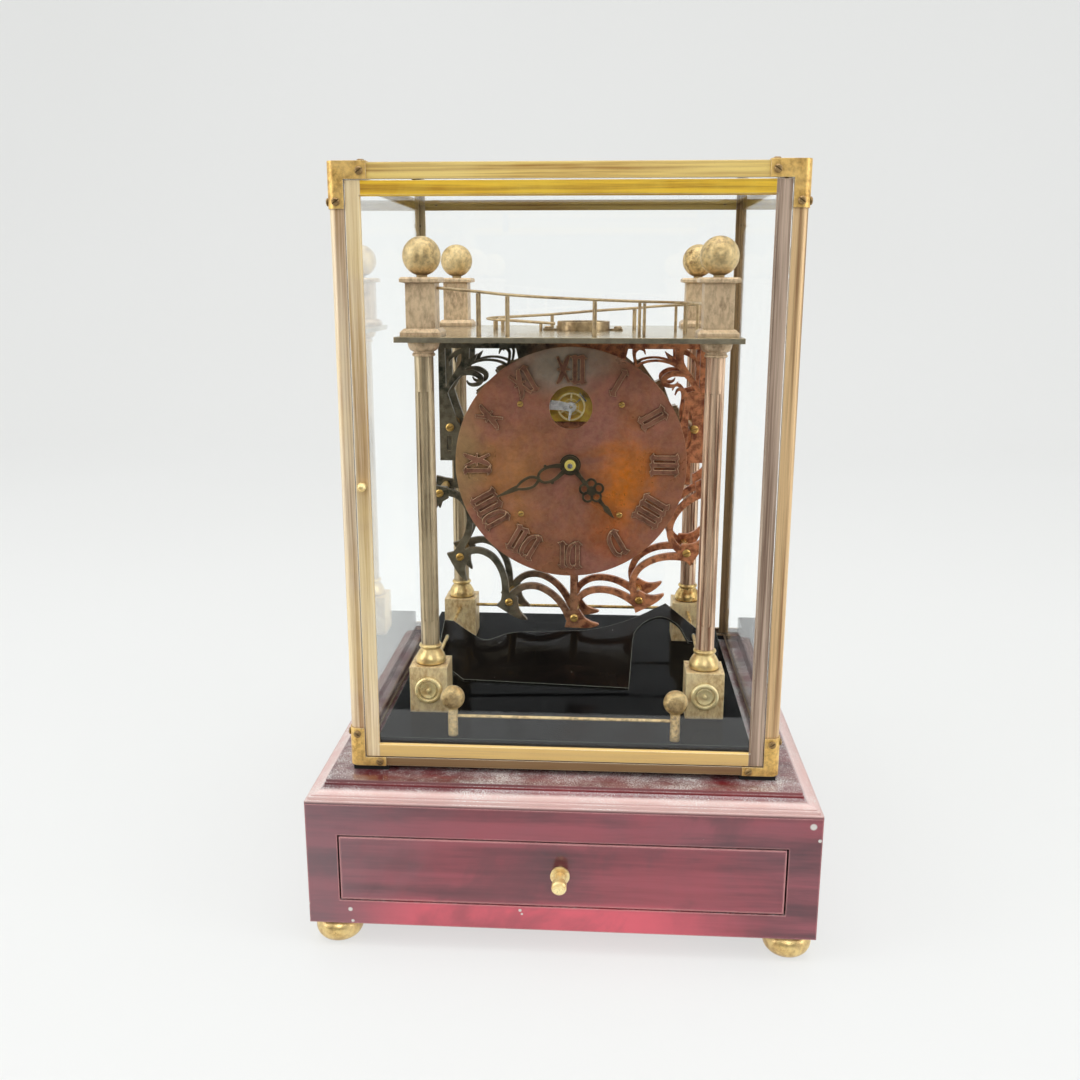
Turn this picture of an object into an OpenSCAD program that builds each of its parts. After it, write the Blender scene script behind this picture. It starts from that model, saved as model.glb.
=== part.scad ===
// Rolling ball clock: a wooden base with a ball drawer, a glazed brass case with a hinged door,
// and a skeleton clock on four pillars whose bucket wheel is turned by falling balls.
// Millimetres, +Z up, origin on the ground under the middle of the footprint, front towards -Y.

/* [Base] */
// Width of the wooden base
base_w = 278; // [270:1:300]
// Depth of the wooden base
base_d = 292; // [284:1:320]
// Height of the wooden box
box_h = 71.5; // [66:0.5:90]
// Thickness of the box's boards
board_t = 9; // [7:0.5:11]
// Thickness of the box's floor
floor_t = 6; // [4:0.5:8]
// Height of the moulded top board
mould_h = 10; // [8:0.5:14]
// How far the moulding steps in from the box
mould_in = 10; // [9:0.5:13]
// Height of the bun feet
foot_h = 15; // [10:0.5:18]
// Diameter of the bun feet
foot_dia = 26.5; // [22:0.5:27]
// Distance from the box's edge to the middle of a foot
foot_in = 13.5; // [13.5:0.5:24]
// Space between the case's sides and the raised floor
plinth_side = 14.5; // [13:0.5:20]
// Space between the case's front or back and the raised floor
plinth_end = 5.5; // [5.5:0.5:20]
// Height of the raised floor above the moulded top
plinth_h = 18; // [16:0.5:24]

/* [Drawer] */
// Wood left at each side of the drawer opening
opening_side = 17.25; // [15:0.25:38]
// Height of the drawer opening
opening_h = 39.5; // [36:0.5:41]
// Wood left under the drawer opening
sill_h = 14; // [12:0.5:16]
// Gap between the drawer front and its opening
drawer_gap = 1; // [0.6:0.1:1.5]
// Thickness of the drawer front
drawer_front_t = 12; // [9:0.5:16]
// Thickness of the drawer's sides and back
drawer_side_t = 7; // [5:0.5:9]
// Thickness of the drawer's bottom
drawer_floor_t = 4; // [3:0.5:5]
// Height of the drawer's sides
drawer_side_h = 31; // [26:0.5:33]
// Width of the runners under the drawer
runner_w = 14; // [10:0.5:20]
// Diameter of the knob's cap
knob_cap_dia = 8; // [6:0.5:11]
// Diameter of the knob's flange
knob_flange_dia = 10.5; // [8:0.5:14]
// How far the knob stands out
knob_out = 14; // [10:0.5:18]
// Diameter of a drive ball
ball_dia = 9.5; // [8:0.25:10]
// Balls in each row of the tray
tray_cols = 8; // [4:1:10]
// Rows of balls in the tray
tray_rows = 2; // [1:1:3]
// Distance between the balls in the tray
tray_pitch = 15; // [12:0.5:20]
// Thickness of the ball tray
tray_t = 10; // [8:0.5:12]

/* [Case] */
// Width of the glazed case
case_w = 235; // [229:1:240]
// Depth of the glazed case
case_d = 246; // [246:1:254]
// Height of the glazed case
case_h = 319; // [317:1:340]
// Height of the pads under the case
pad_h = 3; // [2:0.5:4]
// Leg length of the brass angle
angle_leg = 8; // [7:0.5:10]
// Thickness of the brass angle
angle_t = 1.5; // [1:0.1:2]
// Radius of the rounded upright corners
corner_r = 4; // [2:0.5:5]
// Leg length of the bottom angle
sill_leg = 5; // [4.5:0.1:5.4]
// Thickness of the case glass
glass_t = 3; // [2:0.5:3]
// Length of the bracket arms along the rails
bracket_arm = 19.5; // [16:0.5:26]
// Length of the bracket arms along the posts
bracket_drop = 22; // [18:0.5:30]
// Thickness of the corner brackets
bracket_t = 0.7; // [0.5:0.1:1.2]
// Diameter of the bracket screw heads
screw_dia = 4; // [3:0.25:4.5]
// Height of the bracket screw heads
screw_h = 1; // [0.6:0.1:1.4]

/* [Door] */
// Width of the door's stiles and rails
stile_w = 7.5; // [6:0.5:10]
// Thickness of the door frame
door_t = 4.4; // [4:0.1:4.4]
// Thickness of the door glass
door_glass_t = 2; // [1.5:0.1:2.2]
// Gap round the door
door_gap = 0.5; // [0.4:0.1:0.8]
// Radius of the hinge pins
pin_r = 1; // [0.8:0.1:1.3]
// Radial clearance of the hinge pins
pin_fit = 0.05; // [0.02:0.01:0.09]
// Diameter of the door knob
door_knob_dia = 5; // [4:0.5:6]
// Height of the door knob above the case's foot
door_knob_z = 158; // [60:1:240]

/* [Pillars] */
// Distance between the pillars from side to side
span_x = 161; // [156:1:164]
// Distance between the pillars from front to back
span_y = 139.6; // [132:0.2:146]
// Width of the lower blocks
block_w = 22; // [18:0.5:24]
// Height of the lower blocks
block_h = 27.7; // [25:0.1:32]
// Diameter of the columns
column_dia = 10.7; // [9:0.1:13]
// Number of flutes on a column
flutes = 8; // [6:1:10]
// Diameter of the bell under a column
bell_dia = 17.6; // [15:0.1:20]
// Height of the bell and its neck ring
bell_h = 12; // [9:0.5:14]
// Height of the capital
capital_h = 8; // [6:0.5:10]
// Underside of the top plate above the raised floor
deck_z = 214.9; // [214:0.1:222]
// Thickness of the top plate
deck_t = 3; // [2:0.5:4]
// How far the top plate reaches past the pillars' middle
deck_over = 14; // [12:0.5:16]
// Width of the upper blocks
upper_w = 16.2; // [13:0.1:18]
// Height of the upper blocks
upper_h = 31.6; // [26:0.1:36]
// Diameter of the finial balls
finial_dia = 21; // [16:0.5:23]
// Diameter of the rosettes
rosette_dia = 16; // [12:0.5:17]
// Diameter of the side and rear stretcher rods
rod_dia = 2.2; // [1.6:0.1:3]
// Height of the stretcher rods above the raised floor
rod_z = 21; // [20:0.5:23]

/* [Gallery] */
// Distance between the gallery posts
gallery_span = 123.4; // [100:1:140]
// Distance of the gallery in front of the pillars' middle line
gallery_y = 112; // [98:1:113]
// Diameter of the gallery balls
gallery_ball_dia = 13.5; // [10:0.5:15]
// Diameter of the gallery posts
gallery_post_dia = 5.5; // [4:0.5:6]
// Height of the gallery balls' middle above the raised floor
gallery_ball_z = 22.2; // [18:0.1:28]
// Height of the gallery rail above the raised floor
gallery_rail_z = 11.4; // [8:0.2:13]
// Diameter of the gallery rail
gallery_rail_dia = 1.8; // [1.2:0.1:2.4]

/* [Track] */
// Distance between the two rails of the track
gauge = 7.5; // [6:0.1:8]
// Diameter of the track wire
wire_dia = 1.5; // [1:0.1:2]
// Diameter of the track posts
post_dia = 1.8; // [1.4:0.1:2.4]
// Middle of the hopper ring to the right of the arbor
hopper_x = 6; // [4:0.5:8]
// Outer radius of the hopper ring
hopper_r = 16.5; // [15:0.5:18]
// Wall of the hopper ring
hopper_wall = 2.2; // [1.5:0.1:3]
// Height of the hopper ring
hopper_h = 5.6; // [4:0.1:7]

/* [Movement] */
// Height of the hands' arbor above the raised floor
arbor_z = 140; // [139:0.1:141]
// Front face of the front plate
plate_y = -15; // [-16:0.5:-14]
// Thickness of the skeleton plates
plate_t = 3; // [2:0.5:3]
// Distance between the two skeleton plates
plate_gap = 26; // [25.6:0.2:28]
// Half width of the skeleton plates
plate_half = 81; // [80.5:0.5:82]
// Radius of the ring of plate pillars
ring_r = 82; // [81:0.5:83]
// Drop of the pillar ring's middle below the arbor
ring_drop = 19; // [18:0.5:20]
// Radius of the plate pillars
plate_pillar_r = 2.5; // [2:0.1:3]
// Outer radius of the bucket wheel
wheel_r = 73; // [70:0.5:73]
// Radius of the bucket wheel's drum
drum_r = 58; // [52:0.5:60]
// Number of buckets
buckets = 24; // [16:1:28]
// Radius of the centre arbor
arbor_r = 1.5; // [1.2:0.1:1.6]
// Radial clearance of running pivots
run_fit = 0.05; // [0.02:0.01:0.09]
// Pressure angle of the gear teeth
pressure = 25; // [22:0.5:26]
// Free play between gear teeth, as a share of the module
backlash = 0.14; // [0.1:0.01:0.2]

/* [Dial and hands] */
// Radius of the dial
dial_r = 69.8; // [66:0.1:70.5]
// Thickness of the dial
dial_t = 2; // [1.5:0.1:2.4]
// Front face of the dial
dial_y = -27; // [-28:0.1:-27]
// Radius of the escapement window
window_r = 12.9; // [11:0.1:14]
// Height of the escapement window above the arbor
window_z = 34; // [33:0.1:35]
// Height of the raised numerals
numeral_t = 1; // [0.6:0.1:1.2]
// Inner radius of the numerals
numeral_in = 47.5; // [44:0.5:50]
// Length of the numerals
numeral_len = 18; // [15:0.5:19]
// Length of the minute hand
minute_len = 49; // [40:0.5:58]
// Length of the hour hand
hour_len = 42; // [34:0.5:44]
// Thickness of the hands
hand_t = 0.8; // [0.5:0.1:1]
// Hour shown
shown_hour = 4; // [0:1:11]
// Minute shown
shown_minute = 41; // [0:1:59]

/* [Hidden] */
$fn = 64;
set_back = knob_out / 2;
seat = 0.2;              // clearance of loosely seated pieces
slide_fit = 0.3;         // clearance of the drawer on its runners
lip = 2;                 // overlap of a rebate
pivot_r = 0.6;           // pivots of the small arbors
shaft_r = 0.9;           // small arbors
pocket_fit = 0.3;        // room round a ball in its pocket

// Heights of the main levels
base_top = foot_h + box_h + mould_h;
floor_z = base_top + plinth_h;
case_z = base_top + pad_h;
case_top = case_z + case_h;
arbor = floor_z + arbor_z;
deck = floor_z + deck_z;
deck_top = deck + deck_t;

// Base and drawer
front_y = -base_d / 2;
opening_z = foot_h + sill_h;
runner_top = opening_z + drawer_gap;
opening_w = base_w - 2 * opening_side;
drawer_w = opening_w - 2 * drawer_gap;
drawer_len = base_d - 2 * board_t - 20;
tray_front = front_y + drawer_front_t + drawer_side_t;
rack_w = (tray_cols - 1) * tray_pitch + ball_dia + 8;
rack_d = (tray_rows - 1) * tray_pitch + ball_dia + 8;
rack_y = front_y + drawer_len - drawer_side_t - rack_d / 2;
rack_z = runner_top + slide_fit + drawer_floor_t;
pocket = ball_dia * 0.6;
fillet_h = 1.6;
fillet_in = 1.6;

// Case and door
case_front = -case_d / 2;
plinth_w = case_w - 2 * plinth_side;
plinth_d = case_d - 2 * plinth_end;
glass_in = max(angle_t + glass_t, corner_r);
screw_r = screw_dia / 4;
door_w = case_w - 2 * angle_leg - 2 * door_gap;
door_z = case_z + sill_leg + door_gap;
door_h = case_top - angle_leg - door_gap - door_z;
pane_y = case_front + door_t - door_glass_t - 0.5;
pin_in = 3;
hinge_x = door_w / 2 - pin_in;
hinge_y = case_front + pin_r + 0.5;
pin_reach = 3.5;
bevel = 2;
catch_x = 43.5 - case_w / 2;

// Pillars and deck
pillar_x = span_x / 2;
pillar_y = span_y / 2;
deck_w = span_x + 2 * deck_over;
deck_d = span_y + 2 * deck_over;
column_z = floor_z + block_h + bell_h;
column_top = deck - capital_h;
upper_top = deck_top + upper_h;
wheel_front = plate_y + plate_t + 13;
wheel_t = plate_gap - 14;
hopper_y = wheel_front + wheel_t / 2;
drop_r = ball_dia / 2 + 1.4;

// Levels of the train, counted forwards from the train plate
back_y = plate_y + plate_t + plate_gap;
plate_back = plate_y + plate_t;
level_centre = plate_back + 0.6;
level_third = plate_back + 2.2;
level_fourth = plate_back + 3.7;
level_second = plate_back + 5.2;
level_great = plate_back + 7.5;
train_y = plate_back + 10;
train_t = 2;
gear_t = 1;
heavy_t = 1.8;
great_m = 0.6;
centre_m = 0.5;
third_m = 0.38;
fourth_m = 0.36;
hour_m = 0.48;
great_teeth = 64;
second_teeth = 60;
second_pinion = 16;
centre_pinion = 20;
centre_teeth = 80;
third_pinion = 10;
third_teeth = 75;
fourth_pinion = 10;
fourth_teeth = 80;
escape_pinion = 8;
cannon_teeth = 12;
minute_teeth = 36;
minute_pinion = 10;
hour_teeth = 40;
tooth_up = 0.85;
tooth_down = 1.15;

// Places of the arbors, as [x, z] from the hands' arbor
balance_at = [0, window_z];
escape_at = balance_at + [10, 8];
fourth_at = escape_at + fourth_m * (fourth_teeth + escape_pinion) / 2 * [cos(-60), sin(-60)];
third_at = meet(centre_m * (centre_teeth + third_pinion) / 2, fourth_at,
    third_m * (third_teeth + fourth_pinion) / 2);
second_at = [-great_m * (great_teeth + second_pinion) / 2, 0];
minute_at = centre_m * (cannon_teeth + minute_teeth) / 2 * [cos(225), sin(225)];
lever_at = escape_at + 4.4 * (balance_at - escape_at) / norm(balance_at - escape_at);
train_posts = [[-37, 25], [-30, -27], [38, -12], [37, 48]];
dial_posts = [[-30.3, 36], [30.3, 36], [-30, -31], [30, -31]];

// Hands and dial levels
cannon_y = plate_y - 2.6;
hour_y = cannon_y - 2.4;
hour_hand_y = dial_y - 3.2;
minute_hand_y = hour_hand_y - 1 - hand_t;
pipe_r = arbor_r + 1.4;
platform_y = plate_y - 2;
escape_y = platform_y - 1.6;
lever_y = escape_y - 1.4;
balance_y = lever_y - 1.9;
cock_y = balance_y - 2.2;
hour_angle = 90 - 30 * (shown_hour + shown_minute / 60);
minute_angle = 90 - 6 * shown_minute;

// Junctions of the scrolled plates, as degrees from straight down
junctions = [for (i = [0 : 6]) -88.4 + 30.1 * i];
ring_chord = 2 * ring_r * sin(15.05);

// Sloping ball ramp: the front edge's left end and the two slopes
ramp_at = [-66, -41, 3.9];
ramp_tilt = 22.8;
ramp_roll = 1.8;
ramp_t = 2;

// Middle line of the track from its start at the left front block to the hopper
track_path = [[upper_w / 2 - pillar_x + 0.08, -67, 243.8], [-50, -67, 241.8], [-34, -67, 240.2],
    [-12, -67, 238.8], [14, -66, 237.6], [40, -62, 236.6], [58, -51, 236], [69, -35, 235.2],
    [72, -14, 234.4], [66, 7, 233.4], [54, 21, 232.4], [38, 26, 231], [12, 26, 229.2],
    [-14, 26, 227], [-38, 26, 225.6], [-47, 22.5, 225.1], [-50.5, 15.5, 224.7],
    [-46.5, 8.8, 224.3], [-36, 6.2, 223.7], [-20, 6.6, 222.6], [-11.2, 7, 222]];
track_stops = [1, 2, 4, 5, 7, 9, 11, 13, 15, 17, 19];

// Moves a piece from the pillars' middle to the part's own middle
module placed() translate([0, set_back, 0]) children();

// Upright sheet between y and y + t, drawn as x and z
module slab(y, t) translate([0, y + t, 0]) rotate([90, 0, 0]) linear_extrude(t) children();

// Piece of the movement, measured from the hands' arbor
module on_arbor(p = [0, 0]) placed() translate([p[0], 0, arbor + p[1]]) children();

module rod_y(r, y0, y1) translate([0, y1, 0]) rotate([90, 0, 0]) cylinder(r = r, h = y1 - y0);

module rod_x(r, x0, x1) translate([x0, 0, 0]) rotate([0, 90, 0]) cylinder(r = r, h = x1 - x0);

module four(x, y) for (i = [-1, 1], j = [-1, 1]) translate([i * x, j * y, 0]) children();

module both() {
    children();
    mirror([1, 0, 0]) children();
}

module block(w, d, h) translate([-w / 2, -d / 2, 0]) cube([w, d, h]);

module round_rect(w, d, r) {
    square([w - 2 * r, d], center = true);
    square([w, d - 2 * r], center = true);
    four(w / 2 - r, d / 2 - r) circle(r);
}

module ring(r, wall) difference() {
    circle(r);
    circle(r - wall);
}

// Where a circle of radius ra about the arbor meets one of radius rb about b, on the right
function meet(ra, b, rb) = let(d = norm(b), u = b / d, s = (ra * ra - rb * rb + d * d) / (2 * d))
    s * u + sqrt(ra * ra - s * s) * [u[1], -u[0]];

function at(p, i) = p[max(0, min(len(p) - 1, i))];

// Smooth curve through the points of p, with n steps between neighbours
function smooth(a, b, c, d, t) = 0.5 * (2 * b + (c - a) * t + (2 * a - 5 * b + 4 * c - d) * t * t
    + (3 * b - a - 3 * c + d) * t * t * t);
function curve(p, n) = concat([for (i = [0 : len(p) - 2], k = [0 : n - 1])
    smooth(at(p, i - 1), p[i], p[i + 1], at(p, i + 2), k / n)], [p[len(p) - 1]]);

function edge(q, s) = [for (i = [0 : len(q) - 1])
    let(d = at(q, i + 1) - at(q, i - 1), n = [-d[1], d[0]] / norm([d[0], d[1]]))
    [q[i][0], q[i][1]] + s * q[i][2] / 2 * n];

// Scroll whose points are [x, z, width]
module scroll(p, n = 4) {
    q = curve(p, n);
    r = edge(q, -1);
    polygon(concat(edge(q, 1), [for (i = [len(r) - 1 : -1 : 0]) r[i]]));
}

// Gear outline with involute teeth
function involute(r, rb) = r <= rb ? 0 : let(t = sqrt(r * r / rb / rb - 1)) t * 180 / PI - atan(t);
function half_tooth(m, n, r) = let(rp = m * n / 2, rb = rp * cos(pressure))
    90 / n * (1 - backlash / PI) + involute(rp, rb) - involute(r, rb);
function flank(m, n) = let(rp = m * n / 2, root = rp - tooth_down * m, tip = rp + tooth_up * m,
    start = max(root, rp * cos(pressure)))
    concat(start > root ? [root] : [], [for (k = [0 : 3]) start + (tip - start) * k / 3]);

module gear(m, n, phase = 0) {
    radii = flank(m, n);
    last = len(radii) - 1;
    polygon([for (i = [0 : n - 1], s = [-1, 1], k = [0 : last])
        let(r = radii[s < 0 ? k : last - k], a = phase + 360 * i / n + s * half_tooth(m, n, r))
        r * [cos(a), sin(a)]]);
}

// Turn of the follower's teeth so that they fit between those of a driver at angle a from it
function mesh(a, na, nb, turn = 0) = a + 180 - (0.5 - (a - turn) * na / 360) * 360 / nb;
function angle_to(p, q) = atan2(q[1] - p[1], q[0] - p[0]);

module spokes(inner, hub, arms, w) difference() {
    circle(inner);
    circle(hub);
    for (i = [0 : arms - 1]) rotate(90 + 360 * i / arms) translate([0, -w / 2]) square([inner, w]);
}

module spoked_gear(m, n, hub, arms, w, phase = 0) difference() {
    gear(m, n, phase);
    spokes(m * (n / 2 - 3.6), hub, arms, w);
}

// Base ------------------------------------------------------------------------------------------

module base_panels() placed() color("#5a1420") translate([0, 0, foot_h]) {
    block(base_w - 2 * board_t, base_d - 2 * board_t, floor_t);
    both() translate([base_w / 2 - board_t, front_y + board_t, 0])
        cube([board_t, base_d - board_t, box_h]);
    translate([-base_w / 2 + board_t, base_d / 2 - board_t, 0])
        cube([base_w - 2 * board_t, board_t, box_h]);
}

module base_front() placed() color("#6b1826") difference() {
    translate([-base_w / 2, front_y, foot_h]) cube([base_w, board_t, box_h]);
    translate([-opening_w / 2, front_y - 1, opening_z]) cube([opening_w, board_t + 2, opening_h]);
}

// Half section of the moulding, from the box's edge up to the top
function moulding(half) = concat([[half, 0], [half, fillet_h], [half - fillet_in, fillet_h],
    [half - fillet_in, 2 * fillet_h], [half - 2 * fillet_in, 2 * fillet_h]],
    [for (a = [90 : -15 : 0]) [half - 2 * fillet_in, mould_h - fillet_h]
        + [-(mould_in - 2 * fillet_in - 0.6) * cos(a), -(mould_h - 3.4 * fillet_h) * sin(a)]],
    [[half - mould_in, mould_h - fillet_h], [half - mould_in, mould_h]]);

module mould_slab(half, length) {
    m = moulding(half);
    translate([0, length / 2, 0]) rotate([90, 0, 0]) linear_extrude(length)
        polygon(concat(m, [for (i = [len(m) - 1 : -1 : 0]) [-m[i][0], m[i][1]]]));
}

module base_top_board() placed() color("#5a1420") translate([0, 0, foot_h + box_h]) intersection() {
    mould_slab(base_w / 2, base_d);
    rotate(90) mould_slab(base_d / 2, base_w);
}

module floor_board() placed() color("#111114") translate([0, 0, base_top])
    block(plinth_w, plinth_d, plinth_h);

module bun_feet() placed() color("#b08a3e") four(base_w / 2 - foot_in, base_d / 2 - foot_in)
    rotate_extrude() {
        translate([foot_dia / 2 - foot_h / 2, foot_h / 2]) intersection() {
            circle(foot_h / 2);
            translate([0, -foot_h]) square(2 * foot_h);
        }
        square([foot_dia / 2 - foot_h / 2, foot_h]);
    }

// Drawer ----------------------------------------------------------------------------------------

module drawer_runners() placed() color("#8a6a42") both() {
    translate([drawer_w / 2 - runner_w, front_y + board_t, foot_h + floor_t])
        cube([runner_w + seat + 3, base_d - 2 * board_t, runner_top - foot_h - floor_t]);
    translate([drawer_w / 2 + seat, front_y + board_t, runner_top])
        cube([3, base_d - 2 * board_t, 6]);
}

module drawer_front() placed() color("#6b1826")
    translate([-drawer_w / 2, front_y, opening_z + drawer_gap])
        difference() {
            cube([drawer_w, drawer_front_t, opening_h - 2 * drawer_gap]);
            translate([drawer_w / 2, drawer_front_t + 1, opening_h / 2 - drawer_gap])
                rotate([90, 0, 0]) cylinder(d = knob_out / 4, h = drawer_front_t + 2);
        }

module drawer_box() placed() color("#4a1a1e") difference() {
    translate([-drawer_w / 2, front_y + drawer_front_t, runner_top + slide_fit])
        cube([drawer_w, drawer_len - drawer_front_t, drawer_side_h]);
    translate([-drawer_w / 2 + drawer_side_t, tray_front, runner_top + slide_fit + drawer_floor_t])
        cube([drawer_w - 2 * drawer_side_t, drawer_len - drawer_front_t - 2 * drawer_side_t,
            drawer_side_h]);
}

module drawer_knob() placed() color("#b08a3e") translate([0, front_y, opening_z + opening_h / 2])
    rotate([90, 0, 0]) {
        translate([0, 0, -drawer_front_t]) cylinder(d = knob_out / 4, h = drawer_front_t + 1);
        cylinder(d = knob_flange_dia, h = 1.5);
        cylinder(d1 = knob_cap_dia * 0.75, d2 = knob_cap_dia * 0.6, h = knob_out - 5);
        translate([0, 0, knob_out - 5]) cylinder(d = knob_cap_dia, h = 4.2);
        translate([0, 0, knob_out - 0.8]) cylinder(d1 = knob_cap_dia, d2 = knob_cap_dia - 1.6, h = 0.8);
    }

module rack_places() translate([0, rack_y, rack_z])
    for (i = [0 : tray_cols - 1], j = [0 : tray_rows - 1])
        translate([(i - (tray_cols - 1) / 2) * tray_pitch, (j - (tray_rows - 1) / 2) * tray_pitch, 0])
            children();

module ball_rack() placed() color("#2a1a18") difference() {
    translate([0, rack_y, rack_z]) block(rack_w, rack_d, tray_t);
    rack_places() translate([0, 0, tray_t - pocket])
        cylinder(r = ball_dia / 2 + pocket_fit, h = pocket + 1);
}

module drive_balls() placed() color("#c8c8cc") rack_places()
    translate([0, 0, tray_t - pocket + ball_dia / 2]) sphere(d = ball_dia);

// Case ------------------------------------------------------------------------------------------

module case_pads() placed() color("#2a2a2a") translate([0, 0, base_top])
    four(case_w / 2 - bracket_arm / 2 - 1, case_d / 2 - sill_leg / 2 - 0.5)
        block(bracket_arm, sill_leg - 1, pad_h);

// Outline of the case, drawn in by step on every side
module case_outline(step = 0) round_rect(case_w - 2 * step, case_d - 2 * step, corner_r - step);

// Places of the bracket screws, each with its head pointing outwards along +Z
module bracket_places() for (top = [0, 1]) translate([0, 0, top ? case_top : case_z])
    mirror([0, 0, top]) {
        row = top ? angle_leg / 2 : sill_leg / 2;
        four_ways() {
            translate([case_w / 2 - bracket_arm + 3.4, case_front, row]) rotate([90, 0, 0]) children();
            translate([case_w / 2 - angle_leg / 2, case_front, bracket_drop - 3.4])
                rotate([90, 0, 0]) children();
            translate([case_w / 2, case_front + bracket_arm - 3.4, row]) rotate([0, 90, 0]) children();
            translate([case_w / 2, case_front + angle_leg / 2, bracket_drop - 3.4])
                rotate([0, 90, 0]) children();
        }
        if (top) four_ways() translate([case_w / 2 - bracket_arm + 3.4, case_front + angle_leg / 2, 0])
            rotate([180, 0, 0]) children();
    }

module four_ways() both() {
    children();
    mirror([0, 1, 0]) children();
}

module screw_bores() bracket_places() translate([0, 0, -angle_t - 1])
    cylinder(r = screw_r, h = angle_t + bracket_t + 2);

module case_posts() placed() color("#8c6a35") difference() {
    translate([0, 0, case_z]) linear_extrude(case_h) intersection() {
        difference() {
            case_outline();
            case_outline(angle_t);
        }
        four(case_w / 2 - angle_leg / 2, case_d / 2 - angle_leg / 2) square(angle_leg, center = true);
    }
    screw_bores();
}

// Frame of four angle rails whose outer legs stand h high
module angle_frame(h) {
    linear_extrude(angle_t) difference() {
        case_outline(angle_t);
        square([case_w - 2 * h, case_d - 2 * h], center = true);
    }
    linear_extrude(h) difference() {
        square([case_w, case_d], center = true);
        square([case_w - 2 * angle_t, case_d - 2 * angle_t], center = true);
        four(case_w / 2, case_d / 2) square(2 * angle_leg, center = true);
    }
}

module hinge_boss(h) translate([hinge_x, case_front + door_t / 2, 0])
    block(2 * (pin_r + 1.5), door_t, h);

module case_rails() placed() color("#a07c3c") difference() {
    union() {
        translate([0, 0, case_z]) {
            angle_frame(sill_leg);
            hinge_boss(sill_leg);
        }
        translate([0, 0, case_top]) mirror([0, 0, 1]) {
            angle_frame(angle_leg);
            translate([0, 0, angle_t + glass_t]) hinge_boss(angle_leg - angle_t - glass_t);
        }
    }
    translate([hinge_x, hinge_y, door_z - door_gap - pin_reach - 0.2])
        cylinder(r = pin_r + pin_fit, h = door_h + 2 * (door_gap + pin_reach + 0.2));
    screw_bores();
}

module bracket(top) {
    arm = top ? angle_leg : sill_leg;
    difference() {
        union() {
            linear_extrude(bracket_drop) intersection() {
                case_outline(-bracket_t);
                translate([case_w / 2 - angle_leg, -case_d / 2 - bracket_t])
                    square([angle_leg + bracket_t, angle_leg + bracket_t]);
            }
            linear_extrude(arm) intersection() {
                case_outline(-bracket_t);
                translate([case_w / 2 - bracket_arm, -case_d / 2 - bracket_t])
                    square([bracket_arm + bracket_t, bracket_arm + bracket_t]);
            }
            if (top) translate([0, 0, -bracket_t]) linear_extrude(bracket_t) intersection() {
                case_outline(-bracket_t);
                translate([case_w / 2, -case_d / 2]) {
                    square([2 * bracket_arm, 2 * angle_leg], center = true);
                    square([2 * angle_leg, 2 * bracket_arm], center = true);
                }
            }
        }
        linear_extrude(case_h) case_outline();
    }
}

module corner_brackets() placed() color("#7c6136") difference() {
    union() {
        translate([0, 0, case_z]) four_ways() bracket(0);
        translate([0, 0, case_top]) mirror([0, 0, 1]) four_ways() bracket(1);
    }
    screw_bores();
}

module slotted_screw(d, h, slot) difference() {
    union() {
        cylinder(d = d, h = h * 0.55);
        translate([0, 0, h * 0.55]) cylinder(d1 = d, d2 = d * 0.7, h = h * 0.45);
    }
    translate([-d, -slot / 2, h * 0.45]) cube([2 * d, slot, h]);
}

module bracket_screws() placed() color("#4c3a22") bracket_places() {
    translate([0, 0, bracket_t]) rotate(35) slotted_screw(screw_dia, screw_h, screw_dia / 6);
    translate([0, 0, -angle_t]) cylinder(r = screw_r - 0.05, h = angle_t + bracket_t);
}

module side_glass() placed() color("#dfe9e6", 0.3) both()
    translate([case_w / 2 - angle_t - glass_t, -case_d / 2 + corner_r, case_z + angle_t])
        cube([glass_t, case_d - 2 * corner_r, case_h - 2 * angle_t - glass_t]);

module back_glass() placed() color("#dfe9e6", 0.3)
    translate([-case_w / 2 + glass_in, case_d / 2 - angle_t - glass_t, case_z + angle_t])
        cube([case_w - 2 * glass_in, glass_t, case_h - 2 * angle_t - glass_t]);

module top_glass() placed() color("#dfe9e6", 0.3) translate([0, 0, case_top - angle_t - glass_t])
    block(case_w - 2 * corner_r, case_d - 2 * corner_r, glass_t);

// Door ------------------------------------------------------------------------------------------

// Opening through the door frame, wider at its front
module door_light(w, h) {
    cube([w, 4 * door_t, h], center = true);
    translate([0, -door_t / 2, 0]) intersection() {
        linear_extrude(2 * h, center = true)
            polygon([[-w / 2 - bevel, -bevel], [w / 2 + bevel, -bevel], [w / 2, bevel / 2],
                [-w / 2, bevel / 2]]);
        rotate([0, 90, 0]) linear_extrude(2 * w, center = true)
            polygon([[-h / 2 - bevel, -bevel], [h / 2 + bevel, -bevel], [h / 2, bevel / 2],
                [-h / 2, bevel / 2]]);
    }
}

module door_frame() placed() color("#b08c40") difference() {
    translate([-door_w / 2, case_front, door_z]) cube([door_w, door_t, door_h]);
    translate([0, case_front + door_t / 2, door_z + door_h / 2])
        door_light(door_w - 2 * stile_w, door_h - 2 * stile_w);
    translate([-door_w / 2 + stile_w - lip, pane_y, door_z + stile_w - lip])
        cube([door_w - 2 * (stile_w - lip), door_t, door_h - 2 * (stile_w - lip)]);
    translate([hinge_x, hinge_y, door_z - 1]) cylinder(r = pin_r, h = pin_reach + 2);
    translate([hinge_x, hinge_y, door_z + door_h - pin_reach - 1]) cylinder(r = pin_r, h = pin_reach + 2);
    translate([-door_w / 2 + stile_w / 2, case_front, case_z + door_knob_z]) rod_y(door_knob_dia / 5, -1, 9);
}

module door_glass() placed() color("#dfe9e6", 0.3)
    translate([-door_w / 2 + stile_w - lip + seat, pane_y, door_z + stile_w - lip + seat])
        cube([door_w - 2 * (stile_w - lip + seat), door_glass_t, door_h - 2 * (stile_w - lip + seat)]);

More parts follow.
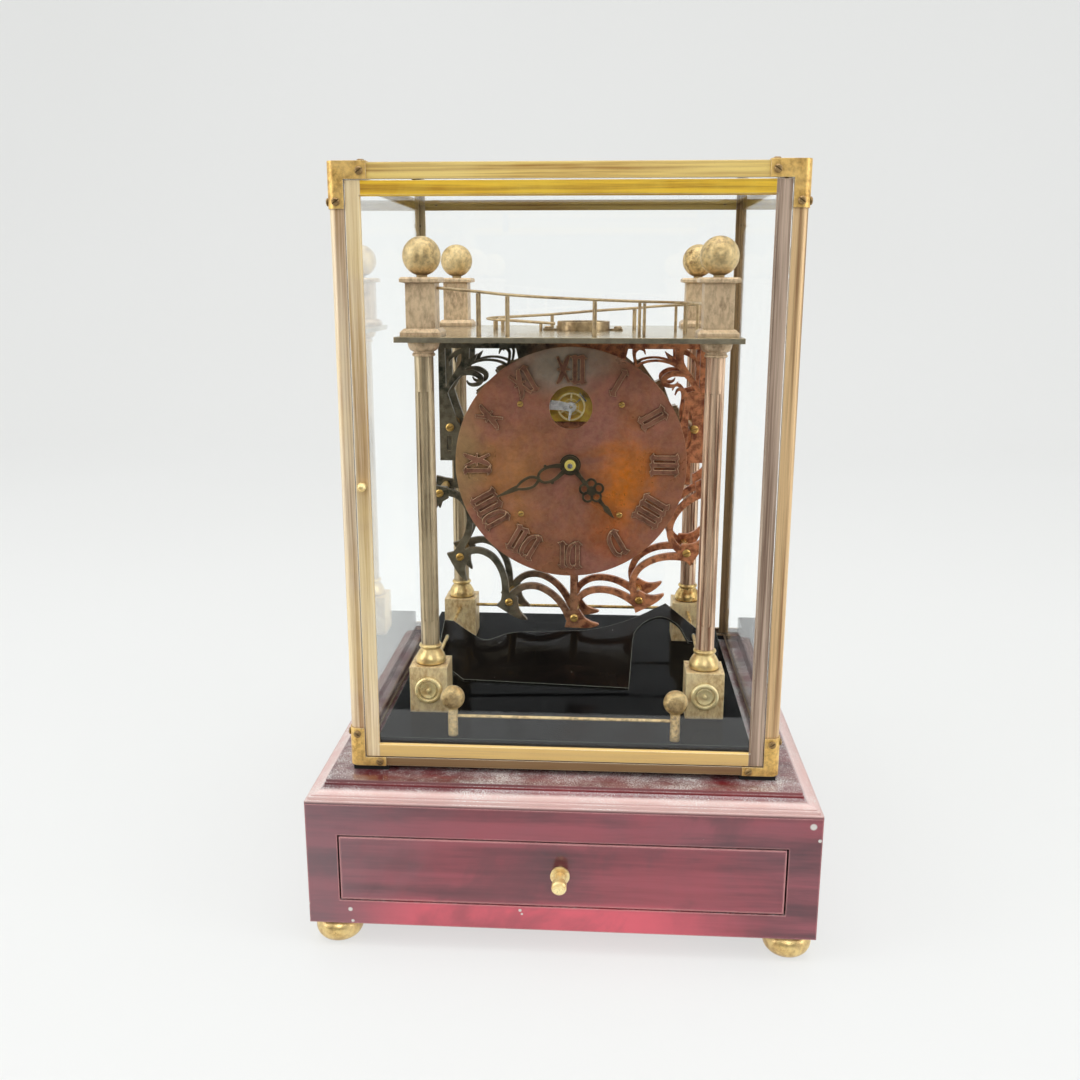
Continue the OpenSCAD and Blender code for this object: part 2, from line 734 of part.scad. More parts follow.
module door_knob() placed() color("#b08c40")
    translate([-door_w / 2 + stile_w / 2, case_front, case_z + door_knob_z]) {
        rod_y(door_knob_dia / 5, -2, stile_w / 4);
        translate([0, -1.4 - door_knob_dia / 2, 0]) sphere(d = door_knob_dia);
        rod_y(door_knob_dia * 0.36, -0.8, 0);
    }

module hinge_pins() placed() color("#6a5330") translate([hinge_x, hinge_y, 0]) {
    translate([0, 0, door_z - door_gap - pin_reach]) cylinder(r = pin_r, h = 2 * pin_reach + door_gap);
    translate([0, 0, door_z + door_h - pin_reach]) cylinder(r = pin_r, h = 2 * pin_reach + door_gap);
}

module door_catch() placed() color("#1c1a18") translate([catch_x - 2.2, 0, case_top - angle_leg]) {
    translate([0, case_front + angle_t, 0])
        cube([4.4, door_t - angle_t + 1.5, angle_leg - angle_t - glass_t]);
    translate([0, case_front + door_t + slide_fit, -4.5]) cube([4.4, 1.2, 5]);
}

// Pillars ---------------------------------------------------------------------------------------

module lower_blocks() placed() color("#7d5d3a") four(pillar_x, pillar_y) translate([0, 0, floor_z])
    block(block_w, block_w, block_h);

module rosettes() placed() color("#b08c40") both()
    translate([pillar_x, -pillar_y - block_w / 2, floor_z + block_h / 2]) rotate([90, 0, 0])
        scale(rosette_dia / 16) rotate_extrude()
            polygon([[0, 0], [8, 0], [8, 1.1], [7.2, 1.8], [6.2, 1.8], [5.6, 0.9], [5, 0.9], [4.6, 1.5],
                [3, 1], [1.3, 0.8], [1.1, 1.9], [0, 2.2]]);

module column_bases() placed() color("#c79a46") four(pillar_x, pillar_y)
    translate([0, 0, floor_z + block_h]) rotate_extrude() {
        polygon(concat([[0, 0], [bell_dia / 2 - 0.6, 0]],
            curve([[bell_dia / 2, 0.8], [bell_dia / 2 - 0.2, bell_h * 0.3], [bell_dia / 2 - 1.6, bell_h * 0.55],
                [column_dia / 2 + 0.4, bell_h * 0.72]], 4),
            [[column_dia / 2 + 0.4, bell_h], [0, bell_h]]));
        translate([column_dia / 2 + 0.2, bell_h * 0.88]) circle(1.1);
    }

module columns() placed() color("#8a6644") four(pillar_x, pillar_y) difference() {
    translate([0, 0, column_z]) cylinder(d = column_dia, h = column_top - column_z);
    for (i = [0 : flutes - 1]) rotate(360 * (i + 0.5) / flutes)
        translate([column_dia / 2 + 0.5, 0, floor_z + 54]) cylinder(r = 1.1, h = 133.5, $fn = 32);
}

module capitals() placed() color("#8a6a3a") four(pillar_x, pillar_y)
    translate([0, 0, column_top]) rotate_extrude() {
        polygon(concat([[0, 0]], [[column_dia / 2 + 0.4, 0], [column_dia / 2 + 0.4, capital_h * 0.35]],
            [for (a = [0 : 15 : 90]) [column_dia / 2 + 0.4 + (bell_dia - column_dia) / 2 * sin(a) * 0.85,
                capital_h * (0.85 - 0.5 * cos(a))]],
            [[bell_dia / 2, capital_h * 0.85], [bell_dia / 2, capital_h], [0, capital_h]]));
        translate([column_dia / 2 + 0.2, 0.9]) circle(0.9);
    }

module top_plate() placed() color("#4a3a28") difference() {
    translate([0, 0, deck]) block(deck_w, deck_d, deck_t);
    translate([hopper_x, hopper_y, deck - 1]) cylinder(r = drop_r, h = deck_t + 2);
}

// Upper block's half outline, from its foot to its bevelled cap
function upper_edge(s) = [[s + 3, 0], [s + 3, 2.4], [s + 1.2, 4.2], [s, 4.2], [s, upper_h - 3.2],
    [s + 2.7, upper_h - 2.6], [s + 2.7, upper_h - 0.9], [s + 1.8, upper_h]];

module upper_slab() {
    m = upper_edge(upper_w / 2);
    translate([0, upper_w, 0]) rotate([90, 0, 0]) linear_extrude(2 * upper_w)
        polygon(concat(m, [for (i = [len(m) - 1 : -1 : 0]) [-m[i][0], m[i][1]]]));
}

module upper_blocks() placed() color("#6e5436") four(pillar_x, pillar_y) translate([0, 0, deck_top])
    intersection() {
        upper_slab();
        rotate(90) upper_slab();
    }

module finial_balls() placed() color("#7a5c34") four(pillar_x, pillar_y)
    translate([0, 0, upper_top]) {
        cylinder(r = finial_dia / 7, h = 2);
        translate([0, 0, finial_dia / 2 + 0.7]) sphere(d = finial_dia);
    }

module stretcher_rods() placed() color("#a88a52") translate([0, 0, floor_z + rod_z]) {
    both() translate([pillar_x, 0, 0])
        rod_y(rod_dia / 2, -pillar_y + block_w / 2, pillar_y - block_w / 2);
    translate([0, pillar_y, 0]) rod_x(rod_dia / 2, -pillar_x + block_w / 2, pillar_x - block_w / 2);
}

module gallery() placed() color("#8a6a3a") translate([0, -gallery_y, floor_z]) {
    both() translate([gallery_span / 2, 0, 0]) {
        cylinder(d = gallery_post_dia, h = gallery_ball_z);
        translate([0, 0, gallery_ball_z]) sphere(d = gallery_ball_dia);
    }
    translate([0, 0, gallery_rail_z]) rod_x(gallery_rail_dia / 2, -gallery_span / 2, gallery_span / 2);
}

// Ball ramp and track ---------------------------------------------------------------------------

// Points are [x, distance up the slope]; the rear edge is a wave, with an arched notch at the right
module ramp_outline() polygon(concat([[-65.5, 0.5], [-84.5, 18], [-85, 56]],
    curve([[-78.7, 55.5], [-64, 43], [-54.5, 38.5], [-38, 47], [-7, 50.8], [12, 53.5], [37, 65.2],
        [62.3, 84.6]], 5),
    [[87, 54], [84, 46], [76, 47]],
    curve([[74.4, 50.7], [70, 62.5], [60, 70.2], [49.5, 65.5], [42, 54.6], [40, 44]], 5),
    [[37.7, 0.5]]));

module ball_ramp() placed() color("#101418") difference() {
    translate([ramp_at[0], ramp_at[1], floor_z + ramp_at[2]]) rotate([ramp_tilt, ramp_roll, 0])
        translate([-ramp_at[0], 0, 0]) linear_extrude(ramp_t) ramp_outline();
    both() translate([pillar_x, 0, floor_z + rod_z])
        rod_y(rod_dia / 2 + 0.1, -pillar_y, pillar_y);
}

// Sideways direction of the track at point i, level with the ground
function track_side(q, i) = let(d = at(q, i + 1) - at(q, i - 1)) [-d[1], d[0], 0] / norm([d[0], d[1]]);
function track_rail(q, s) = [for (i = [0 : len(q) - 1]) q[i] + s * track_side(q, i)];

// Round wire of radius r along the points of q
module wire(q, r, sides = 8) {
    rings = [for (i = [0 : len(q) - 1])
        let(d = at(q, i + 1) - at(q, i - 1), n = [-d[1], d[0], 0] / norm([d[0], d[1]]),
            u = cross(n, d / norm(d)))
        for (k = [0 : sides - 1]) q[i] + r * (cos(360 * k / sides) * n + sin(360 * k / sides) * u)];
    last = (len(q) - 1) * sides;
    polyhedron(rings, concat([[for (k = [0 : sides - 1]) k]],
        [for (i = [0 : len(q) - 2], k = [0 : sides - 1]) let(a = i * sides + k, b = i * sides + (k + 1) % sides)
            [a, a + sides, b + sides, b]],
        [[for (k = [sides - 1 : -1 : 0]) last + k]]));
}

module track_rails() placed() color("#6e5232") translate([0, 0, floor_z]) {
    q = curve(track_path, 3);
    for (s = [-1, 1]) wire(track_rail(q, s * gauge / 2), wire_dia / 2);
}

module track_posts() placed() color("#7a5a36") for (i = track_stops, s = [-1, 1]) {
    p = track_path[i] + s * gauge / 2 * track_side(track_path, i);
    translate([p[0], p[1], deck_top])
        cylinder(d = post_dia, h = floor_z + p[2] - wire_dia / 2 - 0.08 - deck_top, $fn = 24);
}

module hopper_ring() placed() color("#54462c") translate([hopper_x, hopper_y, deck_top]) {
    difference() {
        linear_extrude(hopper_h) ring(hopper_r, hopper_wall);
        translate([-hopper_r - 1, -gauge / 2 - wire_dia, hopper_h - 2.8])
            cube([hopper_wall + 3, gauge + 2 * wire_dia, 4]);
    }
    both() difference() {
        translate([hopper_r - 1, -3, 0]) cube([9, 6, 1.2]);
        translate([hopper_r + 5, 0, -1]) cylinder(d = 3, h = 4);
    }
    both() translate([hopper_r + 5, 0, 0]) {
        cylinder(d = 2.8, h = 1.6);
        translate([0, 0, 1.2]) slotted_screw(5, 1.4, 0.8);
    }
}

// Skeleton plates -------------------------------------------------------------------------------

// Scrolls of one upper corner, drawn for the left one
module corner_scrolls() {
    scroll([[-77.5, 40, 2], [-73.6, 47.5, 3.2], [-68.4, 54, 4.4], [-65, 60, 4.6], [-64.6, 68.5, 5]]);
    scroll([[-62, 67.4, 2], [-67, 66.3, 3], [-72, 63.8, 2.6], [-74.6, 60.6, 1.6], [-74.4, 57.3, 0.5]]);
    scroll([[-66, 58, 3.6], [-61, 60.6, 3.4], [-57.2, 64.8, 0.4]]);
    scroll([[-68, 53, 3], [-60.6, 53.4, 3.4], [-55.6, 50.6, 3.2], [-56, 47.2, 2.8], [-59.8, 46, 2.2],
        [-62.6, 46.6, 1.4], [-64, 48.6, 0.4]]);
    scroll([[-66, 56, 1.6], [-58, 60, 1.5], [-49.5, 61.1, 1.4], [-41, 59, 1.6], [-33, 52, 2.4],
        [-28, 44, 4]]);
    scroll([[-44, 64.8, 0.6], [-43, 67.4, 1.6], [-40, 68.3, 2], [-37.6, 65.2, 1.7], [-38.6, 58, 1.4]]);
}

// Small leaf and slot that only the right corner has
module right_leaf() scroll([[62.4, 40.6, 0.6], [64, 43.8, 1.6], [67.2, 43.4, 2.4], [69.6, 38, 3],
    [68.6, 30, 2.6], [66.6, 22, 2]]);

module plate_windows() {
    polygon([[-77, 68], [-33.7, 68], [-28, 42], [-46, 20], [-62, 14], [-69.7, 22.7], [-76.7, 44]]);
    polygon([[77, 68], [33.7, 68], [28, 42], [46, 20], [60, 14], [65, 20], [68.4, 31], [69.8, 42], [76.7, 44]]);
    translate([-75.1, 7.2]) {
        circle(1.7, $fn = 24);
        translate([-1.5, 0]) square([3, 7.4]);
    }
    scroll([[71.2, 31, 0.8], [72, 26, 2.2], [71.8, 14, 2.4], [70.8, 9.6, 2], [68.2, 8.6, 1]]);
    translate([33, deck - arbor - 0.6]) square([36, 2]);
}

// Hooked arc from one junction to the next, in x along the chord and y towards the ring's middle
module ring_arc() scroll([[-1, 1, 5], [2, 7, 4.4], [6, 11.4, 4], [12, 13.9, 4], [18, 14, 4], [25, 11.8, 4],
    [31, 8.2, 4.2], [36.4, 3.2, 4.6], [ring_chord - 1.5, -2.5, 5.4]], 3);

// Barbed foot of a junction, in x along the ring and y outwards from it
module ring_barb() polygon(concat([[-3.6, -5], [-4.4, 0], [-6.1, 6.1], [0, 6.6]],
    curve([[6, 7], [11, 6.6], [15.6, 4.8], [10.6, 2.8], [6.6, 0], [3.4, -5.4]], 3)));

module junction(a) translate([0, -ring_drop]) rotate(a) translate([0, -ring_r]) children();

// The whole plate, as x and z from the hands' arbor
module plate_outline() difference() {
    union() {
        circle(52);
        difference() {
            union() {
                translate([-plate_half, -0.5]) square([2 * plate_half, deck - arbor + 0.5]);
                both() translate([-73, -14]) square([30, 20]);
            }
            plate_windows();
        }
        both() corner_scrolls();
        right_leaf();
        translate([-24, 40]) square([48, 30]);
        translate([0, -ring_drop - ring_r]) square([4.3, 60]);
        for (a = junctions) junction(a) mirror([0, 1]) ring_barb();
        for (i = [0 : len(junctions) - 2])
            junction(junctions[i]) rotate(15.05) ring_arc();
        both() rotate(31) translate([-73.5, -3]) square([30, 6]);
    }
    both() translate([23, -28]) circle(10);
    both() translate([38, 4]) circle(6);
}

plate_fixings = concat([for (i = [0 : 5]) [0, -ring_drop]
    + ring_r * [sin(junctions[i]), -cos(junctions[i])]], [[-74.6, 20], [74.6, 20]]);

module at_each(places) for (p = places) translate(p) children();

module pivot_holes(r) at_each([second_at, third_at, fourth_at, escape_at]) circle(r = r, $fn = 24);

module front_plate() on_arbor() color("#4e3c2c") {
    slab(plate_y, plate_t) difference() {
        plate_outline();
        circle(arbor_r + run_fit);
        pivot_holes(pivot_r + run_fit);
        translate(escape_at) circle(shaft_r + 0.4, $fn = 24);
        at_each(plate_fixings) circle(1.2, $fn = 24);
    }
    translate([minute_at[0], 0, minute_at[1]]) rod_y(1, hour_y - 1, plate_y + plate_t / 2);
}

module back_plate() on_arbor() color("#46362a") difference() {
    union() {
        slab(back_y, plate_t) difference() {
            plate_outline();
            at_each(plate_fixings) circle(1.2, $fn = 24);
        }
        rod_y(arbor_r + 2.5, back_y + plate_t / 2, back_y + plate_t + 1);
    }
    rod_y(arbor_r + run_fit, back_y - 1, back_y + plate_t + 2);
}

module plate_pillars() on_arbor() color("#a88444") {
    for (p = plate_fixings) translate([p[0], 0, p[1]])
        rod_y(plate_pillar_r, plate_back, back_y);
    for (p = dial_posts) translate([p[0], 0, p[1]]) rod_y(2.5, dial_y + dial_t, plate_y);
    for (p = train_posts) translate([p[0], 0, p[1]]) rod_y(2.5, plate_back, train_y);
}

module head_at(p, y, d) translate([p[0], y, p[1]]) rotate([90, 0, 0]) rotate(20)
    slotted_screw(d, 1.3, d / 6);

module plate_screws() on_arbor() color("#a88444") {
    for (p = plate_fixings) {
        head_at(p, plate_y, 5);
        translate([p[0], 0, p[1]]) rod_y(1.15, plate_y, plate_back);
        translate([p[0], 0, p[1]]) rod_y(1.15, back_y, back_y + plate_t);
        translate([0, 2 * (back_y + plate_t), 0]) mirror([0, 1, 0]) head_at(p, back_y + plate_t, 5);
    }
    for (p = dial_posts) head_at(p, dial_y, 3.6);
}

module train_plate() on_arbor() color("#b08c40") slab(train_y, train_t) difference() {
    union() {
        polygon(train_posts_round());
        at_each(train_posts) circle(4.5);
    }
    circle(pipe_r + 2);
    pivot_holes(pivot_r + run_fit);
}

// The train pillars in order round the plate
function train_posts_round() = [train_posts[0], train_posts[1], train_posts[2], train_posts[3]];

// Dial and hands --------------------------------------------------------------------------------

module dial() on_arbor() color("#8a4a2a") slab(dial_y, dial_t) difference() {
    circle(dial_r, $fn = 128);
    circle(pipe_r + 0.4);
    translate([0, window_z]) circle(window_r);
}

// One upright stroke of a numeral with pointed feet, its middle at x
module minim(x) translate([x, 0]) polygon([[-1.4, 2.8], [-3, 2.6], [-0.4, 0], [3, 1.2], [1.4, 2.8],
    [1.4, numeral_len - 2.8], [3, numeral_len - 2.6], [0.4, numeral_len], [-3, numeral_len - 1.2],
    [-1.4, numeral_len - 2.8]]);

module stroke_v() {
    minim(-2.6);
    scroll([[0.6, numeral_len - 1, 2], [3.2, numeral_len - 4, 2.6], [2.6, 5, 2.6], [-1.6, 0.8, 1.6]]);
}

module stroke_x() {
    scroll([[3.6, numeral_len - 0.6, 1.2], [1.6, numeral_len - 4, 3], [-1.8, 4, 3], [-4.2, 0.6, 1.2]]);
    scroll([[-3.8, numeral_len - 1.4, 1.6], [-0.4, numeral_len / 2, 2.2], [3.4, 1.4, 1.6]]);
    scroll([[-4, numeral_len / 2, 1], [0, numeral_len / 2 + 0.6, 1.6], [4, numeral_len / 2, 1]]);
}

// Each hour as [strokes, where v is a five and x a ten]
marks = ["i", "ii", "iii", "iiii", "v", "vi", "vii", "viii", "ix", "x", "xi", "xii"];
function mark_w(c) = c == "i" ? 4.4 : 9;
function marks_w(s, n) = n <= 0 ? 0 : mark_w(s[n - 1]) + marks_w(s, n - 1);

module numeral(s) for (k = [0 : len(s) - 1])
    translate([marks_w(s, k) + mark_w(s[k]) / 2 - marks_w(s, len(s)) / 2, 0]) {
        if (s[k] == "i") minim(0);
        if (s[k] == "v") stroke_v();
        if (s[k] == "x") stroke_x();
    }

module numerals() on_arbor() color("#5c3a28") slab(dial_y - numeral_t, numeral_t)
    for (h = [1 : 12]) rotate(-30 * h) translate([0, numeral_in]) numeral(marks[h - 1]);

// Hands, drawn pointing along x
module minute_shape() difference() {
    union() {
        circle(5.6);
        for (s = [-1, 1]) scroll([[4, 1.6 * s, 3], [12, 4.2 * s, 2], [18, 3.6 * s, 1.6], [21, 0.6 * s, 1.6]]);
        for (s = [-1, 1]) scroll([[20, 0, 2], [25, 3 * s, 1.6], [31, 2.4 * s, 1.6], [36, 0.2 * s, 1.4]]);
        for (s = [-1, 1]) translate([14, 5.4 * s]) circle(1, $fn = 16);
        scroll([[35, 0, 3.4], [41, 0, 2.4], [minute_len, 0, 0.5]]);
    }
    circle(arbor_r);
}

module hour_shape() difference() {
    union() {
        circle(6.4);
        scroll([[4, 0, 4], [10, 0, 2.4], [15, 0, 3.2]]);
        for (a = [0, 72, 144, 216, 288]) translate([20.5, 0]) rotate(a) translate([4.4, 0])
            difference() {
                circle(3.5, $fn = 32);
                circle(2.1, $fn = 32);
            }
        translate([20.5, 0]) circle(3, $fn = 32);
        scroll([[27, 0, 3], [32, 0, 2], [35, 0, 3.4], [hour_len, 0, 0.5]]);
    }
    circle(pipe_r - 0.2);
}

module hour_hand() on_arbor() color("#1e1a18") difference() {
    union() {
        slab(hour_hand_y, hand_t) rotate(hour_angle) hour_shape();
        rod_y(pipe_r + 2, hour_hand_y + hand_t / 2, hour_hand_y + hand_t + 0.6);
    }
    rod_y(pipe_r - 0.1, hour_hand_y - 1, hour_hand_y + 3);
}

// Minute hand with the nut that holds it
module minute_hand() on_arbor() {
    color("#2e2620") slab(minute_hand_y, hand_t) rotate(minute_angle) minute_shape();
    color("#b8924a") slab(minute_hand_y - 1.8, 1.8) difference() {
        circle(3.3, $fn = 6);
        circle(arbor_r);
    }
}

// Escapement ------------------------------------------------------------------------------------

platform_w = 38;
platform_low = window_z - 9.5;
cock_foot = [-14.5, window_z + 1.5];

module platform() on_arbor() color("#d8a428") {
    slab(platform_y, plate_y - platform_y) difference() {
        translate([-platform_w / 2, platform_low]) square([platform_w, 26]);
        translate(balance_at) circle(pivot_r + run_fit, $fn = 24);
        translate(lever_at) circle(pivot_r + run_fit, $fn = 24);
        translate(escape_at) circle(shaft_r + run_fit, $fn = 24);
    }
    translate([cock_foot[0], 0, cock_foot[1]])
        rod_y(2.6, cock_y + 1.2, platform_y);
}

// Steel cock with its jewel over the balance staff and a regulator arm
module balance_cock() on_arbor() color("#d8d8d8") {
    slab(cock_y, 1.2) difference() {
        union() {
            scroll([[cock_foot[0] - 2.6, cock_foot[1], 6], [-8, window_z + 1, 5.4], [-1, window_z, 4.4]]);
            translate(balance_at) circle(3);
        }
        translate(balance_at) circle(pivot_r + run_fit, $fn = 24);
    }
    slab(cock_y - 0.5, 0.5) difference() {
        union() {
            translate(balance_at) circle(2);
            scroll([[0, window_z - 1.4, 2], [-0.6, window_z - 4.6, 1.6], [-1, window_z - 8, 1]]);
        }
        translate(balance_at) circle(1);
    }
}

module balance() on_arbor(balance_at) color("#d8b460") {
    rod_y(pivot_r, cock_y + 0.1, platform_y + 1);
    rod_y(shaft_r, balance_y - 0.5, escape_y + 0.6);
    slab(balance_y, 1) {
        difference() {
            circle(8.5);
            spokes(7.5, 1.8, 3, 1);
        }
        circle(1.9);
    }
    slab(balance_y - 0.9, 0.5) for (r = [2.4, 3.6, 4.8]) ring(r, 0.3);
    slab(balance_y - 0.9, 0.9) circle(1.4);
    slab(balance_y - 0.9, 0.5) translate([0, -0.2]) square([4.8, 0.4]);
}

// Pallet lever between the escape wheel and the balance staff, along its own line
lever_turn = angle_to(lever_at, balance_at);
module pallet_lever() on_arbor(lever_at) color("#c8c8cc") {
    rod_y(pivot_r, lever_y - 0.6, platform_y + 1);
    slab(lever_y, 0.8) rotate(lever_turn) {
        circle(1.2, $fn = 24);
        translate([0, -0.4]) square([5.6, 0.8]);
        translate([-0.9, -3.2]) square([1, 6.4]);
    }
    slab(lever_y + 0.8, escape_y + 0.6 - lever_y - 0.8) rotate(lever_turn) for (s = [-1, 1])
        translate([-0.6, 2.9 * s]) square([0.7, 0.6], center = true);
}

module escape_wheel() on_arbor(escape_at) color("#c89a3a") {
    slab(escape_y, 0.6) difference() {
        polygon([for (i = [0 : 14], k = [0, 1]) (k ? 3.4 : 2.5)
            * [cos(24 * i - 9 * k), sin(24 * i - 9 * k)]]);
        spokes(1.9, 1.2, 4, 0.5);
    }
    rod_y(shaft_r, escape_y - 0.3, plate_back + 0.3);
    rod_y(pivot_r, plate_back, train_y + train_t);
    slab(level_fourth, gear_t + 0.4) gear(fourth_m, escape_pinion,
        mesh(angle_to(fourth_at, escape_at), fourth_teeth, escape_pinion));
}

// Train -----------------------------------------------------------------------------------------

module small_arbor(p) {
    rod_y(pivot_r, plate_y, train_y + train_t);
    rod_y(shaft_r, plate_back + 0.2, train_y - 0.2);
}

module fourth_wheel() on_arbor(fourth_at) color("#c8a04a") {
    small_arbor();
    slab(level_fourth, gear_t) spoked_gear(fourth_m, fourth_teeth, 2.4, 4, 1.2);
    slab(level_third - 0.2, gear_t + 0.4) gear(third_m, fourth_pinion,
        mesh(angle_to(third_at, fourth_at), third_teeth, fourth_pinion));
}

module third_wheel() on_arbor(third_at) color("#c8a04a") {
    small_arbor();
    slab(level_third, gear_t) spoked_gear(third_m, third_teeth, 2.6, 4, 1.4);
    slab(level_centre - 0.2, gear_t + 0.4) gear(centre_m, third_pinion,
        mesh(angle_to([0, 0], third_at), centre_teeth, third_pinion));
}

module second_wheel() on_arbor(second_at) color("#c8a04a") {
    small_arbor();
    slab(level_second, heavy_t) spoked_gear(great_m, second_teeth, 4, 5, 2);
    slab(level_great, heavy_t) gear(great_m, second_pinion,
        mesh(angle_to([0, 0], second_at), great_teeth, second_pinion));
}

// Centre arbor with its pinion behind the front plate and the cannon pinion in front of it
module centre_arbor() on_arbor() color("#b8b8b8") {
    rod_y(arbor_r, minute_hand_y - 3, back_y + plate_t);
    slab(level_second, heavy_t) gear(great_m, centre_pinion,
        mesh(angle_to(second_at, [0, 0]), second_teeth, centre_pinion));
    slab(cannon_y, 1.6) gear(centre_m, cannon_teeth);
}

module centre_wheel() on_arbor() color("#c8a04a") slab(level_centre, gear_t) difference() {
    spoked_gear(centre_m, centre_teeth, 4.4, 5, 2);
    circle(arbor_r);
}

module minute_wheel() on_arbor(minute_at) color("#c8a04a") difference() {
    union() {
        slab(cannon_y, 1.4) spoked_gear(centre_m, minute_teeth, 3, 4, 1.6,
            mesh(angle_to([0, 0], minute_at), cannon_teeth, minute_teeth));
        slab(hour_y, cannon_y - hour_y) gear(hour_m, minute_pinion);
    }
    rod_y(1 + run_fit, hour_y - 2, plate_y);
}

module hour_wheel() on_arbor() color("#c8a04a") difference() {
    union() {
        slab(hour_y, 1.5) spoked_gear(hour_m, hour_teeth, pipe_r + 1, 4, 1.6,
            mesh(angle_to(minute_at, [0, 0]), minute_pinion, hour_teeth));
        rod_y(pipe_r - 0.1, hour_hand_y, hour_y + 1);
    }
    rod_y(arbor_r + run_fit, hour_hand_y - 1, hour_y + 3);
}

// Bucket wheel: two flanges on a drum, slanted partitions between them, and the great gear on its pipe
flange_t = 0.8;
drum_t = 2.4;
solder = 0.04;  // between the soldered parts
module ball_wheel() on_arbor() color("#6a3a26") {
    inner_y = wheel_front + flange_t + solder;
    inner_t = wheel_t - 2 * (flange_t + solder);
    slab(wheel_front, flange_t) bucket_flange(drum_r - drum_t - 0.6);
    slab(inner_y, inner_t) ring(drum_r, drum_t);
    slab(inner_y, inner_t) for (i = [0 : buckets - 1]) rotate(360 * i / buckets)
        polygon([[drum_r + solder, -1], [wheel_r - 1, -5], [wheel_r - 1, -3.8], [drum_r + solder, 0.3]]);
    difference() {
        union() {
            slab(wheel_front + wheel_t - flange_t, flange_t) bucket_flange(14);
            rod_y(6, wheel_front, wheel_front + wheel_t);
            slab(wheel_front + wheel_t - 3, 3) for (i = [0 : 5]) rotate(60 * i)
                translate([4, -2.5]) square([drum_r - drum_t - 4 - 0.15, 5]);
            rod_y(pipe_r, level_great, wheel_front + 1);
            slab(level_great, heavy_t) gear(great_m, great_teeth);
        }
        rod_y(arbor_r + run_fit, level_great - 1, wheel_front + wheel_t + 1);
    }
}

// Flange with a saw-tooth rim, open inside radius r
module bucket_flange(r) difference() {
    polygon([for (i = [0 : buckets - 1], k = [0, 1]) let(a = 360 / buckets * (i + k * 0.98) - 4)
        (k ? wheel_r : wheel_r - 4) * [cos(a), sin(a)]]);
    if (r > 20) circle(r);
    if (r < 20) for (i = [0 : 5]) rotate(60 * i + 30) translate([drum_r / 2 + 4, 0]) circle(13);
}

base_panels();
base_front();
base_top_board();
floor_board();
bun_feet();
drawer_runners();
drawer_front();
drawer_box();
drawer_knob();
ball_rack();
drive_balls();
case_pads();
case_posts();
case_rails();
corner_brackets();
bracket_screws();
side_glass();
back_glass();
top_glass();
door_frame();
door_glass();
door_knob();
hinge_pins();
door_catch();
lower_blocks();
rosettes();
column_bases();
columns();
capitals();
top_plate();
upper_blocks();
finial_balls();
stretcher_rods();
gallery();
ball_ramp();
track_rails();
track_posts();
hopper_ring();
front_plate();
back_plate();
plate_pillars();
plate_screws();
train_plate();
dial();
numerals();
platform();
balance_cock();
balance();
pallet_lever();
escape_wheel();
fourth_wheel();
third_wheel();
second_wheel();
centre_arbor();
centre_wheel();
ball_wheel();
minute_wheel();
hour_wheel();
hour_hand();
minute_hand();
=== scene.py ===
import bpy
import math
from mathutils import Matrix, Vector


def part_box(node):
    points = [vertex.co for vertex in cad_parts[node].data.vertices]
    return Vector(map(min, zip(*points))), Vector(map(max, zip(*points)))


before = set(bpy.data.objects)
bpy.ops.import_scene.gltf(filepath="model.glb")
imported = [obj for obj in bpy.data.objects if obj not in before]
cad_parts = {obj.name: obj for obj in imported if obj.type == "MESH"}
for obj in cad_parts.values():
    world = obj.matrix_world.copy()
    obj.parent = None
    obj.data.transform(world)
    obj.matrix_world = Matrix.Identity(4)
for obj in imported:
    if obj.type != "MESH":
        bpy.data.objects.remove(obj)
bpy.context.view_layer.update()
mm = 0.001
arborHeight = sum(corner.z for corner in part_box("dial")) / 2 / mm  # the hands' centre, above the table
print("frame loaded:", len(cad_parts), "nodes")

# Camera: place in mm, angles in degrees
shot = {"place": (21.4, -664.9, 361.9), "pitch": 13.49, "yaw": -3.53, "roll": 0.06, "lens": 35.96,
        "sensor": 36, "near": 0.01, "far": 30}


def makeCamera(shot):
    pitch, yaw, roll = (math.radians(shot[k]) for k in ("pitch", "yaw", "roll"))
    ahead = Vector((math.sin(yaw) * math.cos(pitch), math.cos(yaw) * math.cos(pitch), -math.sin(pitch)))
    side = Vector((math.cos(yaw), -math.sin(yaw), 0))
    above = side.cross(ahead)
    right = math.cos(roll) * side + math.sin(roll) * above
    up = -math.sin(roll) * side + math.cos(roll) * above
    data = bpy.data.cameras.new("viewCamera")
    data.sensor_width = shot["sensor"]
    data.lens = shot["lens"]
    data.clip_start, data.clip_end = shot["near"], shot["far"]
    cam = bpy.data.objects.new("viewCamera", data)
    turn = Matrix((right, up, -ahead)).transposed()
    cam.matrix_world = Matrix.Translation(Vector(shot["place"]) * mm) @ turn.to_4x4()
    bpy.context.scene.collection.objects.link(cam)
    bpy.context.scene.camera = cam


makeCamera(shot)
bpy.context.scene.view_settings.view_transform = "Standard"


# Small helpers for the node trees
def tone(r, g, b):  # screen colour 0-255 to linear
    def one(v):
        v /= 255
        return v / 12.92 if v <= 0.04045 else ((v + 0.055) / 1.055) ** 2.4
    return (one(r), one(g), one(b), 1)


def feed(tree, sock, value):  # a link where the value is a socket, else a plain number or colour
    if isinstance(value, bpy.types.NodeSocket):
        tree.links.new(value, sock)
    else:
        sock.default_value = value


def put(tree, kind, inputs=None, **props):
    node = tree.nodes.new(kind)
    for key, value in props.items():
        setattr(node, key, value)
    for key, value in (inputs or {}).items():
        feed(tree, node.inputs[key], value)
    return node


def sums(tree, how, a, b=0.5, clamp=False):
    return put(tree, "ShaderNodeMath", {0: a, 1: b}, operation=how, use_clamp=clamp).outputs[0]


